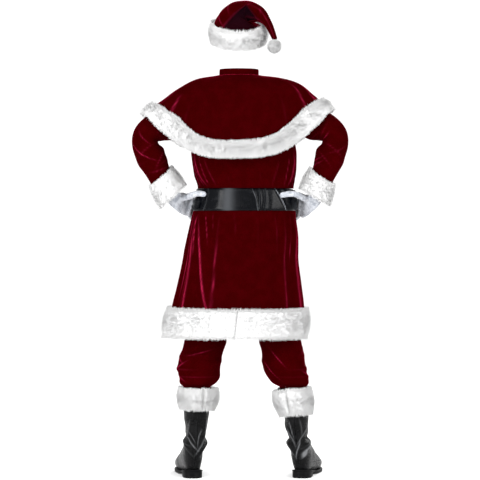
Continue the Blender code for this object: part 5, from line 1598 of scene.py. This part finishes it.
# ---------------------------------------------------------------- trousers
# Plain velvet trousers with a narrow waistband, mostly hidden by the coat.  The legs are
# tucked into the boots, and the cloth piles up in soft folds just above them.

LEG = Table(
    "height left_out right_out behind half_wide half_deep",
    (0.35, 0.1755, 0.198, 0.02, 0.0525, 0.0555),
    (0.364, 0.172, 0.189, 0.018, 0.071, 0.073),
    (0.385, 0.165, 0.179, 0.015, 0.0785, 0.08),
    (0.415, 0.167, 0.166, 0.012, 0.082, 0.083),
    (0.45, 0.165, 0.162, 0.009, 0.0825, 0.084),
    (0.5, 0.15, 0.155, 0.006, 0.081, 0.085),
    (0.57, 0.136, 0.14, 0.003, 0.083, 0.088),
    (0.66, 0.122, 0.124, -0.002, 0.088, 0.093),
    (0.74, 0.108, 0.11, 0, 0.092, 0.102),
    (0.8, 0.103, 0.103, 0.002, 0.095, 0.112),
)
# Ridges round part of a leg; turn 0 is its inner side, 90 its front and 180 its outer side.
LEG_FOLDS = {
    "left": Table(
        "height angle half_height half_angle slope lift crisp",
        (0.392, 250, 0.01, 70, 0, 0.0045, 0.2),
        (0.42, 190, 0.012, 60, 0, 0.006, 0.3),
        (0.447, 300, 0.012, 60, 0, 0.0055, 0),
        (0.475, 230, 0.014, 60, 0, 0.005, 0.1),
        (0.45, 60, 0.014, 60, 0, 0.005, 0.2),
        (0.52, 20, 0.02, 60, 0, 0.004, 0),
        (0.433, 208, 0.004, 20, 0.016, 0.0026, 0.9),
        (0.458, 200, 0.004, 18, -0.012, 0.0024, 0.8),
        (0.388, 204, 0.004, 18, -0.012, 0.003, 1),
        (0.405, 140, 0.0045, 30, 0.012, 0.0024, 0.6),
        (0.436, 100, 0.0045, 34, -0.01, 0.0024, 0.5),
        (0.468, 130, 0.0045, 30, 0.012, 0.002, 0.4),
        (0.486, 266, 0.0035, 26, 0.01, 0.0016, 0.5),
    ),
    "right": Table(
        "height angle half_height half_angle slope lift crisp",
        (0.392, 250, 0.01, 70, 0, 0.0045, 0.1),
        (0.42, 190, 0.012, 60, 0, 0.006, 0.2),
        (0.447, 300, 0.012, 60, 0, 0.0055, 0),
        (0.475, 230, 0.014, 60, 0, 0.005, 0),
        (0.45, 60, 0.014, 60, 0, 0.005, 0.2),
        (0.52, 20, 0.02, 60, 0, 0.004, 0),
        (0.464, 286, 0.0032, 14, 0.025, 0.0026, 1),
        (0.421, 315, 0.0034, 15, 0.03, 0.003, 1),
        (0.492, 196, 0.004, 20, -0.014, 0.0022, 0.5),
        (0.398, 196, 0.0045, 18, 0.012, 0.0028, 0.8),
        (0.405, 120, 0.0045, 30, 0.012, 0.0024, 0.6),
        (0.44, 90, 0.0045, 34, -0.01, 0.0024, 0.5),
        (0.472, 130, 0.0045, 30, 0.012, 0.002, 0.4),
    ),
}
FORK_HEIGHT = 0.770
SEAT_HEIGHT = 0.860
SEAT_ROOM = 0.0040              # between coat and trousers at the waist
SEAT_TAPER = 0.05               # and more of it for every metre further down
LEG_TOP = 1.0463                # the waistband begins just above
LEG_CREST = 0.0028              # half the height of a fold's crest
WAISTBAND = (BELT_LOW + 0.155 * (BELT_HIGH - BELT_LOW), BELT_LOW + 0.62 * (BELT_HIGH - BELT_LOW))


def leg_ridged(side, turn, height):
    lift, crest = 0.0, 0.0
    for place, middle, half_height, half_angle, slope, rise, crisp in LEG_FOLDS[side].rows:
        round_by = wrapped(turn - middle) / half_angle
        along = (height - place - slope * round_by) / half_height
        lift = lift + rise * np.exp(-round_by ** 2 - along ** 2)
        # and how near each place is to a fold's crest, where a highlight is painted
        crest = crest + crisp * np.exp(-round_by ** 2 - (along * half_height / LEG_CREST) ** 2)
    return lift, np.clip(crest, 0, 1)


def seat_surface(side, turn, height):
    """The seat inside the coat; turn runs from the centre front round to the centre back."""
    angle = SIGN[side] * (180.0 - 0.5 * turn)
    lift = folded(COAT_FOLDS, angle, height)[0] * pressed(height)
    room = CLOTH + SEAT_ROOM + SEAT_TAPER * np.maximum(0.0, LEG_TOP - height) + lift
    out = coat_surface(angle, height) - coat_middle(height)
    far = np.linalg.norm(out, axis=-1, keepdims=True)
    return mirrored(coat_middle(height) + out * (1.0 - room[..., None] / far), side)


def eased(share):
    """The same share, with a soft start and end."""
    return share * share * (3.0 - 2.0 * share)


def leg_surface(side):
    def surface(turn, height):
        angle = np.radians(turn)
        lift = leg_ridged(side, turn, height)[0]
        out, behind, wide, deep = LEG.at(height, side + "_out behind half_wide half_deep")
        leg = points_of(out - np.cos(angle) * (wide + lift), behind - np.sin(angle) * (deep + lift),
                        height)
        share = eased(rising(height, FORK_HEIGHT, SEAT_HEIGHT))[..., None]
        return mirrored(leg * (1.0 - share) + seat_surface(side, turn, height) * share, side)

    return surface


# Rows of the leg above the boot, closest over the folds, and of its end inside the boot.
LEG_ROWS = np.concatenate([np.linspace(0.350, 0.364, 4), np.linspace(0.364, 0.520, 50)[1:],
                           np.linspace(0.520, LEG_TOP, 34)[1:]])[:, None]
TUCK_ROWS = np.linspace(0.85, 0.20, 5)[:, None]
turn = np.linspace(0.0, 360.0, 97)[None, :]
for side in ("left", "right"):
    points, normals = surveyed(boot_surface(side), turn - 90.0, TUCK_ROWS, 4.0, 0.1)
    tucked = (points - normals * (LEATHER + FACING + SEAM), normals)
    loose = surveyed(leg_surface(side), turn, LEG_ROWS, 1.0, 0.002)
    crest = leg_ridged(side, turn, LEG_ROWS)[1]
    crest = np.concatenate([np.zeros((len(TUCK_ROWS), turn.shape[1])), crest])
    grid = tuple(np.concatenate(pair) for pair in zip(tucked, loose))
    leg = velvet_panel("trouser_leg_" + side, grid, ("left", "right"), crest=crest)

points, normals = surveyed(coat_surface, np.linspace(-180.0, 180.0, 193)[:-1],
                           np.linspace(*WAISTBAND, 7)[:, None], 0.5, 0.002)
inside = (points - normals * (CLOTH + FACING), normals)
waist = velvet_panel("waistband", inside, ("first", "last"), ring=True)

# ---------------------------------------------------------------- gloves
# White knitted cotton gloves on hands that rest on the hips: thumbs behind, fingers forward.
# Elastic gathers them at the wrist, where a white snap closes each one.

GLOVE_CLOTH = 0.0016
HAND_WRIST = {"left": (0.293, 0.036, 1.125), "right": (0.299, 0.036, 1.120)}
HAND_HEEL = {"left": (0.262, 0.028, 1.081), "right": (0.277, 0.028, 1.074)}
KNUCKLES = (98.0, 1.046, 0.026)             # angle, height and how far off the coat
FINGERS = Table(
    "order root_angle root_height tip_angle tip_height radius",
    (0, 100, 1.076, 126, 1.055, 0.0108),
    (1, 100, 1.057, 131, 1.034, 0.0112),
    (2, 100, 1.038, 129, 1.012, 0.0108),
    (3, 100, 1.02, 121, 0.994, 0.0098),
)
FINGER_OFF = {"left": 0.0183, "right": 0.0201}
THUMB = {"left": ((79.0, 1.082, 0.036), (68.0, 1.093, 0.024), (60.0, 1.097, 0.019),
                  (50.0, 1.094, 0.018)),
         "right": ((79.0, 1.080, 0.036), (66.0, 1.092, 0.0215), (55.0, 1.096, 0.0144),
                   (41.0, 1.091, 0.0132))}
THUMB_RADIUS = 0.0112
FINGER_SHARES = (-0.25, 0.0, 0.30, 0.52, 0.75, 0.92, 1.0)       # places along a finger
FINGER_SIZES = (0.90, 1.0, 0.94, 1.01, 0.92, 0.86, 0.60)        # and its radius there
THUMB_SIZES = (1.0, 1.18, 1.08, 1.04, 0.96, 0.66)
PALM_HALF_WIDE = 0.040
PALM_HALF_THICK = 0.0145
# Half width and half thickness of the hand, from the cuff to past its knuckles.
HAND_SECTIONS = (
    (0.0315, 0.0265),
    (0.032, 0.027),
    (0.0305, 0.0215),
    (PALM_HALF_WIDE, PALM_HALF_THICK + 0.002),
    (PALM_HALF_WIDE, PALM_HALF_THICK),
    (PALM_HALF_WIDE * 0.92, PALM_HALF_THICK * 0.60),
)
GLOVE_STEP = 0.0029             # size of the squares that the glove is resampled in
GATHERS = 17                    # round the wrist
GATHER_DEEP = 0.0016
GATHER_REACH = 0.030
GATHER_FADE = 1.3               # a power; the higher it is, the sooner the gathers fade
GATHER_TWIST = 3.12             # how far a gather turns on its way, in radians of its wave
RUCKS = 30.0                    # angle that the rucks pass through over the palm, in radians
RUCK_DEEP = 0.0012
# the hollows are painted this dark, as painted shade
GATHER_DARK, RUCK_DARK = 0.55, 0.60         # how dark their hollows are
PALM_REACH = 0.075              # from the wrist over which the loose cotton is rucked
GLOVE_EDGE = 0.004              # how far it goes past the wrist, inside the cuff


def cotton_finish():
    made, start, shader = finish("glove_cotton", {
        "Specular IOR Level": 0.15, "Sheen Weight": 0.20, "Sheen Roughness": 0.6})
    crest = start.mark("crest")
    knit = start.noise(1400.0, 2.0, (1.0, 1.0, 0.5))
    crumple = start.noise(75.0, 4.0, (1.0, 1.0, 0.7), 0.6)
    # Painted shade: the white cotton is painted grey, and darker where the crumple bump is low.
    painted_crumple_shade = crumple.between(0.30, 0.62)
    colour = painted_crumple_shade.mixed((0.28, 0.30, 0.34), (0.52, 0.54, 0.58))
    # Painted shade: deep in the gathers' and rucks' hollows, this mark turns the cotton dark grey.
    feed(shader, Base_Color=crest.mixed(colour, (0.16, 0.17, 0.20)), Roughness=0.90,
         Normal=start.bump(knit, 0.0004, start.bump(crumple, 0.0060)))
    return made


COTTON = cotton_finish()


def on_body(side, angle, height, off):
    """A place over the coat, in the left side's coordinates."""
    angle, height = np.float64(SIGN[side] * angle), np.float64(height)
    along = coat_surface(angle + 2.0, height) - coat_surface(angle - 2.0, height)
    up = coat_surface(angle, height + 0.004) - coat_surface(angle, height - 0.004)
    return mirrored(coat_surface(angle, height) + unit(np.cross(up, along)) * off, side)


def curved(values, count):
    """More rows on a smooth curve through the given ones."""
    values = np.array(values, float)
    rows = Table("place " + " ".join("abcdefgh"[:values.shape[1]]),
                 *np.column_stack([np.arange(len(values)), values]).tolist())
    places = np.linspace(0.0, len(values) - 1.0, count)
    return np.column_stack([rows.at(places, name) for name in rows.names[1:]])


def tube(spine, halves, sideways, count=26, sides=20):
    """A closed tube through the points with an oval section that widens sideways."""
    points, sizes = curved(spine, count), curved(halves, count)
    ahead = unit(np.gradient(points, axis=0))
    across = unit(sideways - ahead * (ahead @ sideways)[:, None])
    up = np.cross(ahead, across)
    turn = np.linspace(0.0, 2 * np.pi, sides + 1)[:-1]
    rings = (points[:, None] + across[:, None] * (sizes[:, :1] * np.cos(turn))[..., None]
             + up[:, None] * (sizes[:, 1:] * np.sin(turn))[..., None])
    nib = points[-1] + ahead[-1] * sizes[-1].mean() * 0.6
    corners = np.concatenate([rings.reshape(-1, 3), [points[0], nib]])
    faces = grid_faces(count, sides, True).tolist()
    end, root = (count - 1) * sides, count * sides
    for here in range(sides):
        right = (here + 1) % sides
        faces += [[here, right, root], [end + right, end + here, root + 1]]
    return corners, faces


def hand(side):
    """The closed tubes of one hand, in the left side's coordinates."""
    wrist, heel = np.array(HAND_WRIST[side]), np.array(HAND_HEEL[side])
    knuckles = on_body(side, *KNUCKLES)
    first_root, last_root = (on_body(side, *FINGERS.rows[i][1:3], FINGER_OFF[side]) for i in (0, 3))
    width = unit(first_root - last_root)
    back = wrist + unit(wrist - heel) * 0.010
    far = knuckles + unit(knuckles - heel) * 0.012
    spine = [back, wrist, heel, 0.5 * (heel + knuckles), knuckles, far]
    parts = [tube(spine, HAND_SECTIONS, width, 34, 32)]
    for _, root_angle, root_height, tip_angle, tip_height, radius in FINGERS.rows:
        spine = [on_body(side, root_angle + (tip_angle - root_angle) * share,
                         root_height + (tip_height - root_height) * share, FINGER_OFF[side])
                 for share in FINGER_SHARES]
        parts.append(tube(spine, [(radius * size,) * 2 for size in FINGER_SIZES], width))
    spine = [on_body(side, *place) for place in THUMB[side]]
    spine.insert(0, heel + (knuckles - heel) * 0.20)
    spine.append(spine[-1] + unit(spine[-1] - spine[-2]) * 0.006)
    parts.append(tube(spine, [(THUMB_RADIUS * size,) * 2 for size in THUMB_SIZES], width))
    return joined(*parts), wrist, unit(wrist - heel), width


def resampled(points, faces, step, smoothing):
    """One even skin round overlapping closed forms."""
    mesh = bpy.data.meshes.new("rough")
    mesh.from_pydata(points.tolist(), [], [list(face) for face in faces])
    rough = bpy.data.objects.new("rough", mesh)
    bpy.context.collection.objects.link(rough)
    join = rough.modifiers.new("join", "REMESH")
    join.mode, join.voxel_size = "VOXEL", step
    soften = rough.modifiers.new("soften", "SMOOTH")
    soften.factor, soften.iterations = 0.6, smoothing
    bpy.context.view_layer.update()
    made = bpy.data.meshes.new_from_object(rough.evaluated_get(
        bpy.context.evaluated_depsgraph_get()))
    bpy.data.objects.remove(rough)
    return made


def knitted(places, normals, wrist, cuffward, width):
    """The skin gathered at the wrist and rucked over the palm; then, for each place, how deep
    in a hollow it lies, which sets the shade painted there, and how far past the wrist it is."""
    off = places - wrist
    past = off @ cuffward
    around = np.arctan2(off @ np.cross(cuffward, width), off @ width)
    near = rising(past, -GATHER_REACH, 0.0) ** GATHER_FADE
    wave = np.sin(GATHERS * around + GATHER_TWIST * past / GATHER_REACH
                  + 2.0 * np.sin(3 * around))
    slack = rising(past, -PALM_REACH, 0.0)
    roll = np.sin(RUCKS * past / PALM_REACH + 1.5 * np.sin(around - 0.6)
                  + 2.2 * np.cos(around * 2.0))
    lift = GATHER_DEEP * near * wave + RUCK_DEEP * slack * roll
    hollow = (GATHER_DARK * near * np.clip(-wave, 0, 1)
              + RUCK_DARK * slack * np.clip(-roll - 0.35, 0, 1))
    return places + normals * lift[:, None], hollow, past


def open_ended(faces, past):
    """The faces up to the glove's edge, renumbered, with the points used and the open rim."""
    kept = [face for face in faces if past[list(face)].mean() < GLOVE_EDGE]
    used = np.unique([corner for face in kept for corner in face])
    number = {old: new for new, old in enumerate(used)}
    kept = [[number[corner] for corner in face] for face in kept]
    # A dictionary rather than a set, so that the rim comes in the same order every time.
    sides = {side: None for face in kept for side in zip(face, face[1:] + face[:1])}
    return kept, used, [(a, b) for a, b in sides if (b, a) not in sides]


SNAP = {"left": (0.262, 1.088), "right": (-0.251, 1.076)}      # x and height of each snap
SNAP_RADIUS = 0.0052
# The snap's section from its edge inward: share of its radius, and height.
SNAP_SECTION = ((0.92, 0.0), (1.0, 0.0004), (0.96, 0.0012), (0.80, 0.0017), (0.62, 0.0014),
                (0.50, 0.0006), (0.20, 0.0004))
SNAP_LACQUER = plain_finish("white_snap", (0.62, 0.63, 0.66))


def glove_snap(side, points, normals):
    """A small domed ring, sunk in its middle, pressed on at the glove's nearest place behind."""
    x, height = SNAP[side]
    in_front = np.where(points[:, 1] > 0.02, 0.0, 1.0)
    spot = (np.hypot(points[:, 0] - x, points[:, 2] - height) + in_front).argmin()
    out = mirrored(normals[spot], side)
    across = unit(np.cross(out, (0.0, 0.0, 1.0)))
    turn = np.linspace(0.0, 2 * np.pi, 25)[:-1, None]
    circle = np.cos(turn) * across + np.sin(turn) * np.cross(out, across)
    middle = points[spot] + out * 0.0006
    rings = [middle + circle * SNAP_RADIUS * wide + out * high for wide, high in SNAP_SECTION]
    turned_out(piece_of("glove_snap_" + side, np.concatenate(rings),
                        ended_faces(len(rings), len(turn)), SNAP_LACQUER, "cotton"))


for side in ("left", "right"):
    (points, faces), wrist, cuffward, width = hand(side)
    skin = resampled(points, faces, GLOVE_STEP, 5)
    normals = vectors_of(skin.vertex_normals, "vector")
    places, crest, past = knitted(vectors_of(skin.vertices, "co"), normals, wrist, cuffward, width)
    kept, used, rim = open_ended([tuple(face.vertices) for face in skin.polygons], past)
    places, normals, crest = places[used], normals[used], crest[used]
    points = mirrored(np.concatenate([places, places - normals * GLOVE_CLOTH]), side)
    shift = len(used)
    faces = kept + [[shift + corner for corner in reversed(face)] for face in kept]
    faces += [[b, a, shift + a, shift + b] for a, b in rim]
    if side == "right":
        faces = [face[::-1] for face in faces]
    glove = piece_of(f"glove_{side}_knit", points, faces, COTTON, "cotton", ["glove_" + side],
                     {"crest": np.concatenate([crest, np.zeros(shift)])})
    glove_snap(side, points[:shift], normals)

# ---------------------------------------------------------------- hat
# The hat's soft velvet crown falls over to the wearer's right.  It has slumped into itself
# behind the peak, and hard creases run from there into the tail.

HAT = Table(
    "station out behind height half_wide half_deep",
    (0, 0.014, -0.01, 1.699, 0.094, 0.114),
    (1, 0.014, -0.002, 1.729, 0.095, 0.115),
    (2, 0.014, 0.006, 1.758, 0.094, 0.112),
    (3, 0.008, 0.012, 1.784, 0.084, 0.098),
    (4, -0.006, 0.017, 1.804, 0.055, 0.08),
    (5, -0.033, 0.026, 1.814, 0.034, 0.056),
    (6, -0.069, 0.042, 1.797, 0.025, 0.036),
    (7, -0.096, 0.064, 1.763, 0.016, 0.021),
    (8, -0.114, 0.08, 1.727, 0.012, 0.014),
    (9, -0.127, 0.088, 1.694, 0.009, 0.01),
)
HAT_DIP = 0.016                 # how much lower its edge is at the back
# Turn 0 is the wearer's right, and the tail's underside; 90 is the back and 180 the left.
HAT_FOLDS = Table(
    "station turn half_stations half_turn slope lift crisp",
    (2.9, 180, 0.7, 48, 0, -0.007, 0),
    (3.2, 5, 0.6, 40, 0, 0.008, 0),
    (2.6, 150, 0.5, 24, 0.4, 0.0036, 0.6),
    (3.6, 152, 0.3, 24, 0.3, 0.003, 0.5),
    (5.3, 0, 0.9, 60, 0, 0.018, 0),
    (5.2, 118, 0.4, 40, 0.35, 0.0024, 0.25),
    (6.2, 108, 0.46, 34, -0.3, 0.0024, 0.3),
    (7.2, 120, 0.3, 40, 0.3, 0.0016, 0.2),
    (3.4, 262, 0.55, 34, 0, -0.007, 0),
    (2.8, 230, 0.26, 34, 0.3, 0.004, 0.5),
    (3.9, 290, 0.24, 40, -0.35, 0.0046, 0.6),
    (4.6, 250, 0.24, 50, 0.3, 0.004, 0.6),
)
# Ridges at the back, inside which the crown has slumped: a place on each, and the way in.
HAT_RIDGES = Table(
    "x height inward_x inward_z soft",
    (0.081, 1.748, -0.737, -0.676, 0.016),
    (0.042, 1.797, -0.539, -0.842, 0.008),
    (-0.019, 1.833, 0.79, -0.614, 0.007),
    (-0.062, 1.78, 0.892, -0.452, 0.007),
)
SLUMP = 0.026                   # how deep
FUR_END = 1.9                   # station above which the crown is free of its stiff band
RUCKED_FROM, RUCKED_TO = 4.4, 6.4           # the tail is finely rucked from here on
RUCK = 0.0016
POMPOM = (-0.1245, 0.094, 1.6665)
POMPOM_RADIUS = 0.026


def hat_middle(station):
    return points_of(*HAT.at(station, "out behind height"))


def slumped(place, turn):
    """1 where the crown has slumped in, and 0 outside the ridges and on its front."""
    share = np.clip(3.0 * np.sin(np.radians(turn)), 0, 1)
    for x, height, inward_x, inward_z, soft in HAT_RIDGES.rows:
        inside = (place[..., 0] - x) * inward_x + (place[..., 2] - height) * inward_z
        share = share * eased(np.clip(inside / soft, 0, 1))
    return share


def rucks(turn, station):
    """How much the tail is rucked at a station, and the rucks' wave at a turn."""
    return rising(station, RUCKED_FROM, RUCKED_TO), np.sin(np.radians(5.0 * turn) + 0.8 * station)


def hat_surface(turn, station):
    angle = np.radians(turn)
    dip = HAT_DIP * np.clip(np.sin(angle), 0, 1) ** 1.5 * np.clip((3.6 - station) / 1.6, 0, 1)
    lift = ridged(HAT_FOLDS, turn, station)[0] * rising(station, FUR_END, FUR_END + 0.7)
    share, wave = rucks(turn, station)
    lift = lift + RUCK * share * wave
    along = unit(hat_middle(station + 0.3) - hat_middle(station - 0.3))
    backward = np.array([0.0, 1.0, 0.0])
    backward = unit(backward - along * (along @ backward)[..., None])
    half_wide, half_deep = HAT.at(station, "half_wide half_deep")
    place = (hat_middle(station)
             + np.cross(along, backward) * (np.cos(angle) * (half_wide + lift))[..., None]
             + backward * (np.sin(angle) * (half_deep + lift))[..., None])
    in_by = SLUMP * slumped(place, turn) * rising(station, FUR_END, FUR_END + 0.8)
    return place - points_of(0.0, in_by, dip)


HAT_TURNS = np.linspace(0.0, 360.0, 121)[None, :-1]
station = np.concatenate([np.linspace(0.0, 2.0, 10), np.linspace(2.0, 9.0, 72)[1:]])[:, None]
grid = surveyed(hat_surface, HAT_TURNS, station, 2.0, 0.03)
hollow = slumped(grid[0], HAT_TURNS)
# Painted highlights: round the slumped hollow's rim, and along the tops of the tail's rucks.
rim = np.clip(4.0 * hollow * (1.0 - hollow), 0, 1) ** 2
share, wave = rucks(HAT_TURNS, station)
crest = (ridged(HAT_FOLDS, HAT_TURNS, station)[1] + 0.30 * rim
         + 0.30 * share * np.clip(wave, 0, 1) ** 4)
end, before = hat_middle(9.0), hat_middle(8.7)
# The slumped hollow is painted dark as painted shade, deepest near its top.
crown = velvet_panel("hat_crown", grid, ("first",), ring=True, tip=end + unit(end - before) * 0.002,
                     crest=np.clip(crest, 0, 1),
                     brushed=hollow * (0.82 + 0.18 * rising(grid[0][..., 2], 1.75, 1.81)))

# ---------------------------------------------------------------- hat fur and pompom
# A wide band of the same fur is sewn round the hat's edge, and a ball of it hangs from the
# tail's tip.

grid = surveyed(hat_surface, HAT_TURNS, np.linspace(0.04, 1.97, 13)[:, None], 2.0, 0.05)
fur_band("hat_fur", grid, depth=0.020, swell=0.0, count=14000, long=0.0140, seed=51, ring=True)

POMPOM_HEART = 0.78             # radius of its backing, of its whole radius
height = np.linspace(1.0, -1.0, 25)[:, None]
around = np.linspace(0.0, 2 * np.pi, 49)[None, :-1]
wide = np.sqrt(1.0 - height ** 2)
ball = points_of(wide * np.cos(around), wide * np.sin(around), height)
heart = ball * POMPOM_RADIUS * POMPOM_HEART + POMPOM
strands = pile(heart, ball, unit(np.gradient(ball, axis=0) + 1e-6), 0.35, 7000, 0.0085,
               np.random.default_rng(61), ring=True, at_edge=0.0)
fur_piece("hat_pompom", heart.reshape(-1, 3), grid_faces(25, 48, True).tolist(), strands)

# ---------------------------------------------------------------- floor, lights and camera
# The suit stands on a wide pale floor under an even white sky, between large soft lamps.
# The camera is behind it at half its height, far enough off to see it without distortion.

VIEW_ACROSS = 0.008
LIT_MIDDLE = Vector((0.0, 0.0, -0.5))       # every lamp is turned to this place
VIEW_DISTANCE = 7.5
VIEW_HEIGHT = 0.944
VIEW_TILT = math.radians(0.18)
LENS = 144.2
SENSOR = 36.0
FLOOR_RADIUS = 60.0
SKY = (1.0, 1.0, 1.0)
SKY_STRENGTH = 1.15

around = np.linspace(0.0, 2 * np.pi, 49)[:-1]
edge = points_of(FLOOR_RADIUS * np.cos(around), FLOOR_RADIUS * np.sin(around), -NECK_HEIGHT)
mesh = bpy.data.meshes.new("floor")
mesh.from_pydata(edge.tolist(), [], [tuple(range(len(edge)))])
floor = bpy.data.objects.new("floor", mesh)
bpy.context.collection.objects.link(floor)
floor_paint, start, shader = finish("floor_paint", {"Roughness": 0.9, "Specular IOR Level": 0.2})
mottle = start.noise(0.7, 2.0).between(0.2, 0.8)
feed(shader, Base_Color=mottle.mixed((0.93, 0.93, 0.93), (0.95, 0.95, 0.95)))
mesh.materials.append(floor_paint)

# Lamps: where each stands, how wide and high it is, and its power.
LAMPS = Table(
    "number x y z wide high watts",
    (0, -3.6, 3.2, 0.5, 1, 2.4, 100),
    (1, 3, 4, 0.3, 1.4, 2.4, 175),
    (2, 0.4, 5.2, 2.6, 2.4, 0.8, 40),
    (3, -1.5, -4, 1.4, 2, 2, 130),
)
for number, x, y, z, wide, high, watts in LAMPS.rows:
    lamp = bpy.data.lights.new(f"lamp_{number}", "AREA")
    lamp.shape = "RECTANGLE"
    lamp.size, lamp.size_y, lamp.energy = wide, high, watts
    stand = bpy.data.objects.new(lamp.name, lamp)
    stand.location = (x, y, z)
    aim = LIT_MIDDLE - stand.location
    stand.rotation_euler = aim.to_track_quat("-Z", "Y").to_euler()
    bpy.context.collection.objects.link(stand)

world = bpy.data.worlds.new("sky")
world.use_nodes = True
world.node_tree.nodes["Background"].inputs["Color"].default_value = (*SKY, 1.0)
world.node_tree.nodes["Background"].inputs["Strength"].default_value = SKY_STRENGTH
bpy.context.scene.world = world
bpy.context.scene.view_settings.view_transform = "Standard"

camera = bpy.data.cameras.new("camera")
camera.lens, camera.sensor_width = LENS, SENSOR
camera.clip_end = 200.0
seen_from = bpy.data.objects.new("camera", camera)
seen_from.location = (VIEW_ACROSS, VIEW_DISTANCE, VIEW_HEIGHT - NECK_HEIGHT)
seen_from.rotation_euler = (math.radians(90.0) - VIEW_TILT, 0.0, math.radians(180.0))
bpy.context.collection.objects.link(seen_from)
bpy.context.scene.camera = seen_from
